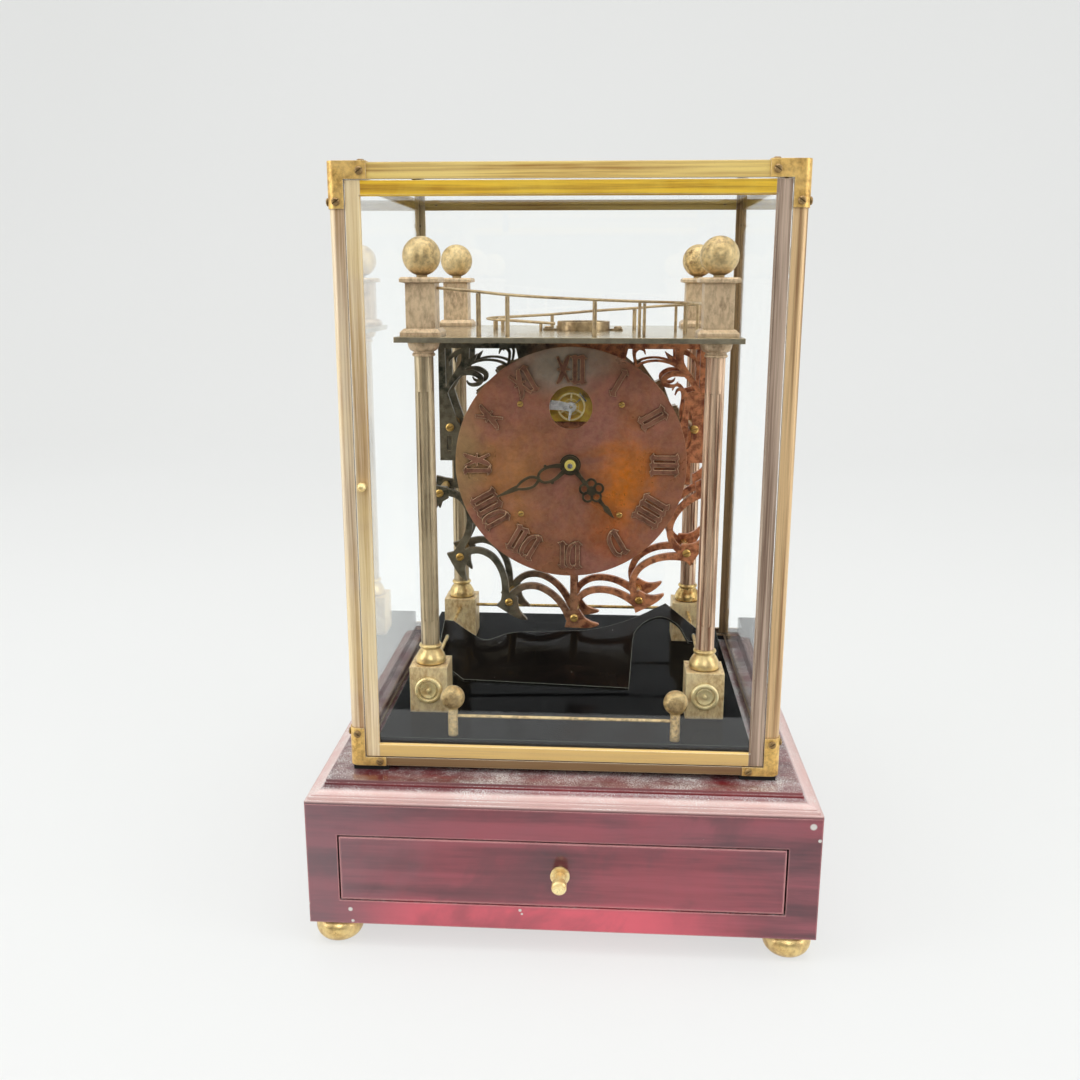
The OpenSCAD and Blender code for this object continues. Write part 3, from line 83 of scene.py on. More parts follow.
def times(tree, a, b, clamp=False):
    return sums(tree, "MULTIPLY", a, b, clamp)


def length(tree, a, b):  # of a flat vector
    return sums(tree, "SQRT", sums(tree, "ADD", times(tree, a, a), times(tree, b, b)))


def blendColour(tree, amount, a, b, how="MIX"):
    node = put(tree, "ShaderNodeMix", data_type="RGBA", blend_type=how)
    for key, value in (("Factor", amount), ("A", a), ("B", b)):
        wanted = "VALUE" if key == "Factor" else "RGBA"
        feed(tree, next(s for s in node.inputs if s.name == key and s.type == wanted), value)
    return next(s for s in node.outputs if s.type == "RGBA")


def tint(tree, colour, mask, share, shade):  # a screen colour over another, where the mask is, by a share
    return blendColour(tree, times(tree, mask, share), colour, tone(*shade))


def span(tree, value, low, high, toLow=0.0, toHigh=1.0, smooth=True):
    node = put(tree, "ShaderNodeMapRange", {"Value": value, "From Min": low, "From Max": high,
                                            "To Min": toLow, "To Max": toHigh})
    node.interpolation_type = "SMOOTHSTEP" if smooth else "LINEAR"
    return node.outputs["Result"]


def objectPlace(tree):
    return put(tree, "ShaderNodeTexCoord").outputs["Object"]


def axes(tree, vector):
    return put(tree, "ShaderNodeSeparateXYZ", {0: vector}).outputs


def cloud(tree, place, scale, detail, **more):  # noise from 0 to 1, told apart by W where that is given
    return put(tree, "ShaderNodeTexNoise", {"Vector": place, "Scale": scale, "Detail": detail, **more},
               noise_dimensions="4D" if "W" in more else "3D").outputs["Fac"]


def bump(tree, strength, depth, height, normal=None):
    inputs = {"Strength": strength, "Distance": depth, "Height": height}
    if normal is not None:
        inputs["Normal"] = normal
    return put(tree, "ShaderNodeBump", inputs).outputs[0]


def newGroup(name, takes, gives):
    tree = bpy.data.node_groups.new(name, "ShaderNodeTree")
    for key, kind, value in takes:
        sock = tree.interface.new_socket(name=key, in_out="INPUT", socket_type=kind)
        sock.default_value = value
    for key, kind in gives:
        tree.interface.new_socket(name=key, in_out="OUTPUT", socket_type=kind)
    return tree, tree.nodes.new("NodeGroupInput").outputs, tree.nodes.new("NodeGroupOutput").inputs


def useGroup(tree, group, **values):
    node = tree.nodes.new("ShaderNodeGroup")
    node.node_tree = group
    for key, value in values.items():
        feed(tree, node.inputs[key], value)
    return node.outputs


def newMaterial(name):
    mat = bpy.data.materials.new(name)
    mat.use_nodes = True
    tree = mat.node_tree
    tree.nodes.clear()
    out = tree.nodes.new("ShaderNodeOutputMaterial")
    skin = tree.nodes.new("ShaderNodeBsdfPrincipled")
    tree.links.new(skin.outputs[0], out.inputs["Surface"])
    return mat, tree, skin


def cover(tree, share, skin, other):  # another shader over the skin, by a share
    mixed = put(tree, "ShaderNodeMixShader", {0: share, 1: skin.outputs[0], 2: other.outputs[0]}).outputs[0]
    out = next(n for n in tree.nodes if n.type == "OUTPUT_MATERIAL")
    tree.links.new(mixed, out.inputs["Surface"])


def finish(tree, skin, colour, rough, normal):
    for key, value in (("Base Color", colour), ("Roughness", rough), ("Normal", normal)):
        tree.links.new(value, skin.inputs[key])


def dress(node, mat):
    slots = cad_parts[node].data.materials
    slots.clear()
    slots.append(mat)


# Shared effects: each range is where its pattern fades in
vec, num = "NodeSocketVector", "NodeSocketFloat"
streakLook = {"lines": (0.34, 0.62), "patches": (0.32, 0.68), "specks": (0.62, 0.74), "speckScale": 2200.0}
edgeLook = {"bent": (0.995, 0.86), "breakupScale": 260.0, "samples": 4}
dustLook = {"up": (0.15, 0.85), "drift": (0.35, 0.7), "grit": (0.3, 0.75), "crumbs": (0.66, 0.72)}


def makeStreaks(look):  # drawn marks along a bar, soft patches of patina and fine specks
    tree, take, give = newGroup("streaks",
                                [("Stretch", vec, (1, 1, 1)), ("Grain", num, 400.0), ("Patch", num, 30.0),
                                 ("Seed", num, 0.0)],
                                [("Lines", num), ("Patches", num), ("Specks", num)])
    place = objectPlace(tree)
    drawn = put(tree, "ShaderNodeVectorMath", {0: place, 1: take["Stretch"]}, operation="MULTIPLY").outputs[0]
    lines = cloud(tree, drawn, take["Grain"], 5.0, Roughness=0.65, W=take["Seed"])
    patches = cloud(tree, place, take["Patch"], 6.0, Roughness=0.6, Distortion=0.6, W=take["Seed"])
    specks = cloud(tree, place, look["speckScale"], 2.0, W=take["Seed"])
    tree.links.new(span(tree, lines, *look["lines"]), give["Lines"])
    tree.links.new(span(tree, patches, *look["patches"]), give["Patches"])
    tree.links.new(span(tree, specks, *look["specks"]), give["Specks"])
    return tree


def makeEdges(look):  # where a rounded corner would be rubbed, and the rounded normal itself
    tree, take, give = newGroup("rubbedEdges", [("Width", num, 0.0006), ("Breakup", num, 0.5)],
                                [("Mask", num), ("Normal", vec)])
    bevel = put(tree, "ShaderNodeBevel", {"Radius": take["Width"]}, samples=look["samples"]).outputs[0]
    flat = put(tree, "ShaderNodeNewGeometry").outputs["Normal"]
    same = put(tree, "ShaderNodeVectorMath", {0: bevel, 1: flat}, operation="DOT_PRODUCT").outputs["Value"]
    broken = times(tree, cloud(tree, objectPlace(tree), look["breakupScale"], 4.0), take["Breakup"])
    whole = sums(tree, "SUBTRACT", 1.0, times(tree, take["Breakup"], 0.5))
    worn = times(tree, span(tree, same, *look["bent"]), sums(tree, "ADD", broken, whole), True)
    tree.links.new(worn, give["Mask"])
    tree.links.new(bevel, give["Normal"])
    return tree


def makeDust(look):  # settles on what faces up, thicker in drifts
    tree, take, give = newGroup("settledDust",
                                [("Amount", num, 0.5), ("Drift", num, 25.0), ("Crumb", num, 1500.0)],
                                [("Film", num), ("Crumbs", num)])
    place = objectPlace(tree)
    up = axes(tree, put(tree, "ShaderNodeNewGeometry").outputs["Normal"])["Z"]
    lying = times(tree, span(tree, up, *look["up"]), take["Amount"])
    drift = cloud(tree, place, take["Drift"], 8.0, Roughness=0.7)
    fine = cloud(tree, place, take["Crumb"], 3.0)
    film = times(tree, span(tree, drift, *look["drift"]), span(tree, fine, *look["grit"]))
    tree.links.new(times(tree, film, lying, True), give["Film"])
    tree.links.new(times(tree, span(tree, fine, *look["crumbs"]), lying, True), give["Crumbs"])
    return tree


def makeMotes():  # single pale specks, on any side
    tree, take, give = newGroup("dustMotes", [("Spread", num, 160.0), ("Size", num, 0.06), ("Share", num, 0.5)],
                                [("Mask", num)])
    cell = put(tree, "ShaderNodeTexVoronoi", {"Vector": objectPlace(tree), "Scale": take["Spread"],
                                              "Randomness": 1.0})
    pick = put(tree, "ShaderNodeSeparateColor", {0: cell.outputs["Color"]}).outputs[0]
    dot = sums(tree, "LESS_THAN", cell.outputs["Distance"], times(tree, take["Size"], pick))
    tree.links.new(times(tree, dot, sums(tree, "LESS_THAN", pick, take["Share"])), give["Mask"])
    return tree


def makeCornerShade():  # painted shade: darker in corners and round raised work, from ambient occlusion
    tree, take, give = newGroup("paintedCornerShade", [("Reach", num, 0.003), ("Low", num, 0.35), ("High", num, 0.9)],
                                [("Mask", num)])
    clear = put(tree, "ShaderNodeAmbientOcclusion", {"Distance": take["Reach"]}, samples=4).outputs["AO"]
    tree.links.new(span(tree, clear, take["High"], take["Low"]), give["Mask"])
    return tree


streaks, edges, dust = makeStreaks(streakLook), makeEdges(edgeLook), makeDust(dustLook)
motes, paintedShade = makeMotes(), makeCornerShade()
print("shared effects made")

# Metals. dark and mid are the drawn marks, light lies over them in patches, edge is where it is rubbed, and
# corners get painted shade
plainMetal = {"stretch": (1, 1, 1), "grain": 300.0, "patch": 28.0, "patchy": 0.6, "seed": 0.0,
              "round": 0.0005, "breakup": 0.6, "wear": 0.7, "specks": 0.25, "speck": (60, 45, 30),
              "reach": 0.003, "paintedShade": 0.55, "paintedShadeTint": (0.2, 0.14, 0.09, 1), "rough": (0.22, 0.42),
              "bump": 0.12, "bumpDepth": 0.00015, "metallic": 0.85, "sideWander": 20}


def crossBars(tree, look):  # the bars between a frame's uprights: their own metal, and where they are
    cross = look["rails"]
    xyz = axes(tree, objectPlace(tree))
    along = useGroup(tree, streaks, Stretch=cross["stretch"], Grain=cross["grain"], Patch=look["patch"],
                     Seed=cross["seed"])
    bar = blendColour(tree, along["Lines"], tone(*cross["dark"]), tone(*cross["mid"]))
    bar = tint(tree, bar, along["Patches"], cross["patchy"], cross["light"])
    high, low = (z * mm for z in cross["fade"])
    bar = blendColour(tree, span(tree, xyz["Z"], high, low, 0.0, cross["lowShare"]), bar, tone(*cross["low"]))
    inside = sums(tree, "LESS_THAN", sums(tree, "ABSOLUTE", xyz["X"]), cross["half"] * mm)
    return inside, bar


def metalMaterial(name, given):
    look = dict(plainMetal, **given)
    mat, tree, skin = newMaterial(name)
    marks = useGroup(tree, streaks, Stretch=look["stretch"], Grain=look["grain"], Patch=look["patch"],
                     Seed=look["seed"])
    rub = useGroup(tree, edges, Width=look["round"], Breakup=look["breakup"])
    colour = blendColour(tree, marks["Lines"], tone(*look["dark"]), tone(*look["mid"]))
    colour = tint(tree, colour, marks["Patches"], look["patchy"], look["light"])
    if look.get("sides"):  # another patina from one side to the other
        across = axes(tree, objectPlace(tree))["X"]
        wander = sums(tree, "ADD", across, times(tree, marks["Patches"], look["sideWander"] * mm))
        near, far = (x * mm for x in look["sides"])
        other = blendColour(tree, marks["Lines"], tone(*look["farDark"]), tone(*look["farLight"]))
        colour = blendColour(tree, span(tree, wander, near, far), colour, other)
    if "low" in look:  # browner below a height
        below = sums(tree, "LESS_THAN", axes(tree, objectPlace(tree))["Z"], look["low"]["z"] * mm)
        colour = tint(tree, colour, below, look["low"]["share"], look["low"]["tone"])
    if "rails" in look:
        inside, bar = crossBars(tree, look)
        colour = blendColour(tree, inside, colour, bar)
    colour = tint(tree, colour, rub["Mask"], look["wear"], look["edge"])
    colour = tint(tree, colour, marks["Specks"], look["specks"], look["speck"])
    # painted shade in corners and crevices, darkening the metal's colour
    cornerShade = useGroup(tree, paintedShade, Reach=look["reach"])["Mask"]
    colour = blendColour(tree, times(tree, cornerShade, look["paintedShade"]), colour,
                         blendColour(tree, 1.0, colour, look["paintedShadeTint"], "MULTIPLY"))
    smoothest, roughest = look["rough"]
    start = smoothest + (roughest - smoothest) / 4
    rough = span(tree, marks["Patches"], 0.0, 1.0, start, roughest, False)
    drawn = bump(tree, look["bump"], look["bumpDepth"], marks["Lines"], rub["Normal"])
    finish(tree, skin, colour, rough, drawn)
    skin.inputs["Metallic"].default_value = look["metallic"]
    return mat


doorFrameLook = {"dark": (190, 148, 96), "mid": (255, 236, 204), "light": (255, 230, 160),
                 "edge": (255, 246, 222), "stretch": (1, 1, 0.015),
                 "grain": 420.0, "patch": 14.0, "patchy": 0.45, "seed": 1.0,
                 "round": 0.0006, "rough": (0.32, 0.48), "metallic": 0.25,
                 "sides": (70, 92), "farDark": (132, 106, 88), "farLight": (216, 192, 170),
                 "rails": {"half": 101.3, "stretch": (0.02, 1, 1), "grain": 420.0, "patchy": 0.6, "seed": 2.0,
                           "dark": (170, 108, 20), "mid": (255, 206, 52), "light": (255, 222, 90),
                           "fade": (300, 200), "low": (236, 200, 140), "lowShare": 0.75}}
casePostLook = {"dark": (172, 126, 84), "mid": (255, 236, 204), "light": (255, 228, 160),
                "edge": (255, 240, 214), "stretch": (1, 1, 0.012),
                "grain": 400.0, "patch": 12.0, "patchy": 0.4, "seed": 3.0,
                "round": 0.0008, "rough": (0.3, 0.46), "metallic": 0.25,
                "sides": (60, 90), "farDark": (150, 110, 72), "farLight": (240, 204, 152)}
caseRailLook = dict(casePostLook, dark=(180, 128, 60), mid=(255, 222, 130), light=(255, 232, 150),
                    stretch=(0.015, 1, 1), seed=4.0, sides=None,
                    low={"z": 150, "share": 0.9, "tone": (136, 104, 76)})
bracketLook = {"dark": (186, 140, 70), "mid": (248, 204, 116), "light": (255, 218, 138),
               "edge": (255, 240, 200), "patch": 90.0, "rough": (0.34, 0.5),
               "seed": 5.0, "metallic": 0.5, "specks": 0.4}
screwLook = {"dark": (96, 74, 46), "mid": (158, 124, 78), "light": (206, 172, 112), "edge": (240, 214, 160),
             "grain": 500.0, "round": 0.0002, "rough": (0.3, 0.5), "metallic": 0.6}
finialLook = {"dark": (128, 94, 48), "mid": (228, 194, 130), "light": (250, 228, 176), "edge": (234, 210, 162),
              "grain": 420.0, "patch": 45.0, "rough": (0.3, 0.5), "seed": 6.0, "round": 0.0003, "wear": 0.0,
              "metallic": 0.5, "bump": 0.3, "specks": 0.5, "speck": (96, 66, 30)}
blockLook = {"dark": (158, 128, 98), "mid": (230, 202, 166), "light": (234, 208, 170), "edge": (255, 238, 204),
             "stretch": (1, 1, 0.5), "grain": 420.0, "patch": 50.0, "rough": (0.36, 0.52), "seed": 7.0,
             "metallic": 0.5}
lowBlockLook = dict(blockLook, dark=(204, 160, 104), mid=(255, 228, 172), light=(255, 238, 192), seed=14.0,
                    metallic=0.35)
bellLook = {"dark": (160, 112, 50), "mid": (240, 206, 130), "light": (250, 228, 170), "edge": (255, 240, 196),
            "grain": 200.0, "rough": (0.2, 0.36), "round": 0.0003, "metallic": 0.7}
columnLook = {"dark": (92, 72, 50), "mid": (212, 190, 154), "light": (226, 206, 168), "edge": (240, 222, 188),
              "stretch": (1, 1, 0.03), "grain": 460.0, "patch": 26.0, "rough": (0.24, 0.4), "round": 0.0002,
              "sides": (-20, 40), "farDark": (128, 82, 56), "farLight": (255, 220, 186), "seed": 8.0,
              "metallic": 0.6}
deckLook = {"dark": (150, 142, 122), "mid": (196, 184, 156), "light": (212, 200, 172), "edge": (226, 190, 130),
            "grain": 160.0, "patch": 16.0, "rough": (0.1, 0.22), "seed": 9.0, "metallic": 0.7}
plateLook = {"dark": (38, 44, 36), "mid": (116, 112, 96), "light": (136, 124, 100), "edge": (196, 160, 110),
             "grain": 220.0, "patch": 30.0, "rough": (0.28, 0.46), "round": 0.0004, "sides": (-30, 30),
             "farDark": (140, 78, 56), "farLight": (238, 160, 112), "seed": 10.0, "metallic": 0.5}
bronzeLook = {"dark": (124, 100, 72), "mid": (186, 160, 122), "light": (220, 196, 154), "edge": (244, 220, 176),
              "rough": (0.24, 0.4), "round": 0.0003, "seed": 11.0, "metallic": 0.6}
trainLook = {"dark": (170, 124, 52), "mid": (232, 184, 92), "light": (248, 212, 128), "edge": (255, 236, 176),
             "grain": 400.0, "rough": (0.2, 0.36), "round": 0.0002, "seed": 12.0, "metallic": 0.7}
steelLook = {"dark": (168, 168, 168), "mid": (222, 222, 220), "light": (240, 240, 238), "edge": (250, 250, 250),
             "grain": 500.0, "rough": (0.14, 0.28), "round": 0.0002, "specks": 0.05, "metallic": 0.8}
platformLook = {"dark": (230, 160, 30), "mid": (255, 214, 66), "light": (255, 236, 130),
                "edge": (255, 240, 180), "rough": (0.25, 0.4), "round": 0.0002, "metallic": 0.1, "paintedShade": 0.25}
balanceLook = dict(platformLook, dark=(220, 176, 90), mid=(255, 236, 170), light=(255, 244, 200))
cockLook = dict(steelLook, mid=(246, 244, 242), light=(252, 251, 250), metallic=0.35, paintedShade=0.3)
turnedLook = dict(bellLook, mid=(255, 234, 168), light=(255, 244, 198), dark=(232, 190, 118), metallic=0.35)
handLook = {"dark": (46, 42, 32), "mid": (76, 68, 50), "light": (112, 98, 70), "edge": (190, 160, 116),
            "rough": (0.3, 0.46), "round": 0.0002, "seed": 13.0, "metallic": 0.5}
blackMetalLook = {"dark": (16, 18, 18), "mid": (26, 26, 24), "light": (36, 34, 30), "edge": (70, 74, 66),
                  "grain": 90.0, "rough": (0.08, 0.2), "round": 0.0004, "metallic": 0.0, "specks": 0.0}

metals = {
    "door_frame": doorFrameLook, "door_knob": turnedLook, "hinge_pins": screwLook, "case_posts": casePostLook,
    "case_rails": caseRailLook, "corner_brackets": bracketLook, "bracket_screws": screwLook,
    "bun_feet": bellLook, "drawer_knob": turnedLook, "lower_blocks": lowBlockLook, "rosettes": turnedLook,
    "column_bases": bellLook, "columns": columnLook, "capitals": blockLook, "top_plate": deckLook,
    "upper_blocks": blockLook, "finial_balls": finialLook, "stretcher_rods": bellLook, "gallery": finialLook,
    "track_rails": bronzeLook, "track_posts": bronzeLook, "hopper_ring": bronzeLook, "front_plate": plateLook,
    "back_plate": plateLook, "plate_pillars": trainLook, "plate_screws": trainLook, "train_plate": trainLook,
    "platform": platformLook, "balance_cock": cockLook, "balance": balanceLook, "pallet_lever": steelLook,
    "escape_wheel": trainLook, "fourth_wheel": trainLook, "third_wheel": trainLook, "second_wheel": trainLook,
    "centre_arbor": steelLook, "centre_wheel": trainLook, "ball_wheel": bronzeLook, "minute_wheel": trainLook,
    "hour_wheel": trainLook, "hour_hand": handLook, "drive_balls": steelLook, "door_catch": blackMetalLook}
handNut = {"z": arborHeight, "radius": 3.4}


def addNut(mat, look, nut):  # a round patch of another metal at the middle of a hand
    tree = mat.node_tree
    skin = next(n for n in tree.nodes if n.type == "BSDF_PRINCIPLED")
    old = skin.inputs["Base Color"].links[0].from_socket
    place = axes(tree, objectPlace(tree))
    far = length(tree, place["X"], sums(tree, "SUBTRACT", place["Z"], nut["z"] * mm))
    near = sums(tree, "LESS_THAN", far, nut["radius"] * mm)
    tree.links.new(blendColour(tree, near, old, tone(*look["light"])), skin.inputs["Base Color"])


made = {}
for node, look in metals.items():  # one material for all the nodes that share a look
    if id(look) not in made:
        made[id(look)] = metalMaterial(node + "Metal", look)
    dress(node, made[id(look)])
minuteMetal = metalMaterial("minuteHandMetal", handLook)
addNut(minuteMetal, platformLook, handNut)
dress("minute_hand", minuteMetal)
print("metals made")

# Dial. A pool is an oval patch: its middle from the arbor and half sizes in mm, softness, share and colour
dialLook = {"body": (196, 126, 90), "rim": (178, 114, 100), "deep": (66, 40, 30), "edge": (236, 190, 142),
            "mote": (210, 190, 165), "rough": (0.26, 0.44), "metallic": 0.45, "bump": (0.1, 0.0001),
            "broad": {"Grain": 90.0, "Patch": 36.0, "Seed": 4.0},
            "fine": {"Grain": 420.0, "Patch": 110.0, "Seed": 9.0},
            "rub": {"Width": 0.0004, "Breakup": 0.5}, "motes": {"Spread": 420.0, "Size": 0.14, "Share": 0.22},
            "paintedShadeReach": 0.0022, "poolWander": 0.35,
            "rubbed": 0.9, "cloudy": 0.3, "drawn": 0.12, "cornerShading": 0.9, "dusty": 0.6,
            "pools": [((-34, -10), (34, 42), -0.3, 0.7, (240, 166, 84)),
                      ((32, -10), (28, 44), -0.1, 0.95, (255, 142, 28)),
                      ((24, -48), (26, 28), -0.2, 0.6, (216, 104, 36)),
                      ((-6, 60), (40, 24), 0.2, 0.9, (206, 196, 178)),
                      ((-68, 4), (22, 50), 0.1, 0.8, (204, 168, 116))]}


def dialMaterial(look):
    mat, tree, skin = newMaterial("dialPatina")
    marks = useGroup(tree, streaks, **look["broad"])
    mottle = useGroup(tree, streaks, **look["fine"])
    rub = useGroup(tree, edges, **look["rub"])
    xyz = axes(tree, objectPlace(tree))
    wander = times(tree, sums(tree, "SUBTRACT", marks["Patches"], 0.5), look["poolWander"])
    colour = blendColour(tree, marks["Patches"], tone(*look["body"]), tone(*look["rim"]))
    for (x, z), (wide, tall), soft, share, shade in look["pools"]:
        dx = sums(tree, "DIVIDE", sums(tree, "SUBTRACT", xyz["X"], x * mm), wide * mm)
        dz = sums(tree, "DIVIDE", sums(tree, "SUBTRACT", xyz["Z"], (arborHeight + z) * mm), tall * mm)
        pool = span(tree, sums(tree, "ADD", length(tree, dx, dz), wander), 1.0, soft)
        colour = tint(tree, colour, pool, share, shade)
    colour = tint(tree, colour, rub["Mask"], look["rubbed"], look["edge"])
    colour = tint(tree, colour, sums(tree, "SUBTRACT", 1.0, mottle["Patches"]), look["cloudy"], look["deep"])
    colour = tint(tree, colour, mottle["Lines"], look["drawn"], look["edge"])
    # painted shade in the corners and round the raised numerals
    cornerShade = useGroup(tree, paintedShade, Reach=look["paintedShadeReach"])["Mask"]
    colour = tint(tree, colour, cornerShade, look["cornerShading"], look["deep"])
    colour = tint(tree, colour, useGroup(tree, motes, **look["motes"])["Mask"], look["dusty"], look["mote"])
    rough = span(tree, marks["Patches"], 0.0, 1.0, *look["rough"], False)
    finish(tree, skin, colour, rough, bump(tree, *look["bump"], marks["Lines"], rub["Normal"]))
    skin.inputs["Metallic"].default_value = look["metallic"]
    return mat


dress("dial", dialMaterial(dialLook))
numeralLook = {"dark": (92, 60, 46), "mid": (150, 102, 80), "light": (176, 122, 96), "edge": (255, 214, 168),
               "patch": 60.0, "rough": (0.3, 0.44), "round": 0.0006, "wear": 1.0, "breakup": 0.5, "paintedShade": 0.4,
               "metallic": 0.5}
dress("numerals", metalMaterial("numeralCopper", numeralLook))
print("dial made")

# Wood. Heights and places are in mm
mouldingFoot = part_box("base_top_board")[0].z / mm
lacquerLook = {"deep": (66, 26, 38), "body": (140, 64, 76), "glow": (186, 48, 66), "edge": (238, 164, 162),
               "paintedLowLight": (226, 84, 102), "paintedLeftReflection": (124, 100, 106), "dark": (70, 34, 42),
               "paintedCoveReflection": (250, 214, 206), "dustTone": (214, 210, 204), "along": (0.08, 1, 1),
               "seed": 1.0, "rim": 0.0013, "frayed": 1.1,
               "fine": {"Grain": 60.0, "Patch": 14.0}, "broad": {"Grain": 30.0, "Patch": 7.0}, "broadSeed": 3.0,
               "shares": {"glow": 0.35, "paintedLowLight": 0.85, "paintedLeftReflection": 0.45, "dark": 0.5, "paintedCoveReflection": 0.75, "edge": 0.75},
               "dusty": 1.0, "film": {"Drift": 34.0, "Crumb": 1500.0}, "spotted": 0.8,
               "spots": {"Spread": 95.0, "Size": 0.05, "Share": 0.4}, "chipBreakup": 0.8, "chipSoft": 0.6,
               "rough": (0.35, 0.8), "bump": (0.08, 0.0002), "coat": 1.0, "coatRough": 0.06, "coatIor": 1.5,
               "lowBand": (34, 26), "lowHalf": (120, 50), "lowWander": 30, "leftFrom": (-30, -120),
               "leftWander": 50, "darkFrom": (0.55, 0.95), "matt": 0.6,
               "cove": ((mouldingFoot + 0.3, mouldingFoot + 2), (mouldingFoot + 6.3, mouldingFoot + 4.3))}
topLook = dict(lacquerLook, deep=(56, 14, 18), body=(112, 26, 32), glow=(160, 34, 44), paintedLeftReflection=(84, 60, 64),
               dustTone=(232, 232, 228), dusty=1.15, seed=2.0, shares=dict(lacquerLook["shares"], edge=0.25))
drawerLook = dict(lacquerLook, dusty=0.6, seed=7.0, along=(0.06, 1, 1), rim=0.002,
                  shares=dict(lacquerLook["shares"], edge=1.0))
chips = [(-140.2, 42.4, 1.6), (-140.6, 38.7, 1.2), (-139.6, 26.4, 1.3), (-116, 23.6, 1.5), (-114.9, 16.5, 1.1),
         (-21.8, 26.6, 1.1), (-20.8, 24.4, 0.8), (133.8, 82.0, 2.2), (137.6, 74, 1.2)]  # x, z and radius
chipFace = (-130, -136)  # only on what faces the front


def lacquerMaterial(name, look):
    mat, tree, skin = newMaterial(name)
    marks = useGroup(tree, streaks, Stretch=look["along"], Seed=look["seed"], **look["fine"])
    broad = useGroup(tree, streaks, Stretch=look["along"], Seed=look["seed"] + look["broadSeed"],
                     **look["broad"])
    rub = useGroup(tree, edges, Width=look["rim"], Breakup=look["frayed"])
    xyz = axes(tree, objectPlace(tree))

    def fade(value, ends):  # 0 at the first end, 1 at the second
        return span(tree, value, ends[0] * mm, ends[1] * mm)

    def wander(value, reach):  # moved by the broad patches
        return sums(tree, "ADD", value, times(tree, broad["Patches"], reach * mm))

    def lay(what, mask):  # one of the look's own colours over the wood, by its share
        return tint(tree, colour, mask, look["shares"][what], look[what])

    colour = blendColour(tree, marks["Lines"], tone(*look["deep"]), tone(*look["body"]))
    colour = lay("glow", marks["Patches"])
    # painted light: a brighter red low down in the middle of the front
    middle = fade(sums(tree, "ABSOLUTE", wander(xyz["X"], look["lowWander"])), look["lowHalf"])
    colour = lay("paintedLowLight", times(tree, fade(xyz["Z"], look["lowBand"]), middle))
    # painted reflection: a greyer tone towards the left
    colour = lay("paintedLeftReflection", fade(wander(xyz["X"], look["leftWander"]), look["leftFrom"]))
    colour = lay("dark", span(tree, broad["Patches"], *look["darkFrom"]))
    # painted reflection: a pale band along the cove of the moulding
    above, below = (fade(xyz["Z"], ends) for ends in look["cove"])
    colour = lay("paintedCoveReflection", times(tree, above, below))
    colour = lay("edge", rub["Mask"])

    film = useGroup(tree, dust, Amount=look["dusty"], **look["film"])
    spots = useGroup(tree, motes, **look["spots"])["Mask"]
    pale = sums(tree, "MAXIMUM", film["Film"], times(tree, spots, look["spotted"]))
    pale = sums(tree, "MAXIMUM", pale, film["Crumbs"])
    for x, z, radius in chips:
        dx, dz = sums(tree, "SUBTRACT", xyz["X"], x * mm), sums(tree, "SUBTRACT", xyz["Z"], z * mm)
        far = sums(tree, "ADD", length(tree, dx, dz), times(tree, marks["Specks"], look["chipBreakup"] * mm))
        chip = times(tree, fade(far, (radius, radius * look["chipSoft"])), fade(xyz["Y"], chipFace))
        pale = sums(tree, "MAXIMUM", pale, chip)
    colour = blendColour(tree, pale, colour, tone(*look["dustTone"]))

    rough = span(tree, pale, 0.0, look["matt"], *look["rough"])
    finish(tree, skin, colour, rough, bump(tree, *look["bump"], marks["Lines"], rub["Normal"]))
    tree.links.new(sums(tree, "SUBTRACT", look["coat"], pale, True), skin.inputs["Coat Weight"])
    skin.inputs["Coat Roughness"].default_value = look["coatRough"]
    skin.inputs["Coat IOR"].default_value = look["coatIor"]
    return mat


lacquer = lacquerMaterial("cherryLacquer", lacquerLook)
dress("base_panels", lacquer)
dress("base_front", lacquer)
dress("base_top_board", lacquerMaterial("topLacquer", topLook))
dress("drawer_front", lacquerMaterial("drawerLacquer", drawerLook))

runnerLook = {"line": (150, 116, 76), "light": (196, 164, 120), "patchy": 0.3, "rough": (0.5, 0.7),
              "grain": {"Stretch": (1, 0.05, 1), "Grain": 220.0, "Patch": 20.0, "Seed": 3.0},
              "bump": (0.3, 0.0002)}
stainedLook = dict(runnerLook, line=(66, 26, 30), light=(92, 40, 44))


def bareWoodMaterial(name, look):
    mat, tree, skin = newMaterial(name)
    marks = useGroup(tree, streaks, **look["grain"])
    colour = blendColour(tree, marks["Lines"], tone(*look["line"]), tone(*look["light"]))
    colour = tint(tree, colour, marks["Patches"], look["patchy"], look["light"])
    rough = span(tree, marks["Patches"], 0, 1, *look["rough"], False)
    finish(tree, skin, colour, rough, bump(tree, *look["bump"], marks["Lines"]))
    return mat


dress("drawer_runners", bareWoodMaterial("bareWood", runnerLook))
stained = bareWoodMaterial("stainedWood", stainedLook)
dress("drawer_box", stained)
dress("ball_rack", stained)
print("wood made")

# Black board and ramp
blackLook = {"body": (5, 5, 6), "haze": (12, 12, 12), "edge": (120, 128, 116), "dustTone": (170, 168, 162),
             "hazy": 0.4, "worn": 0.8, "dusty": 0.35, "rough": (0.05, 0.14), "ior": 1.06,
             "marks": {"Grain": 60.0, "Patch": 24.0, "Seed": 2.0}, "rub": {"Width": 0.0005, "Breakup": 0.4},
             "small": {"Spread": 230.0, "Size": 0.11}, "large": {"Spread": 90.0, "Size": 0.07}}
rampLook = dict(blackLook, body=(16, 13, 11), haze=(34, 28, 22), edge=(228, 232, 214), hazy=0.6, dusty=0.5,
                ior=1.3)


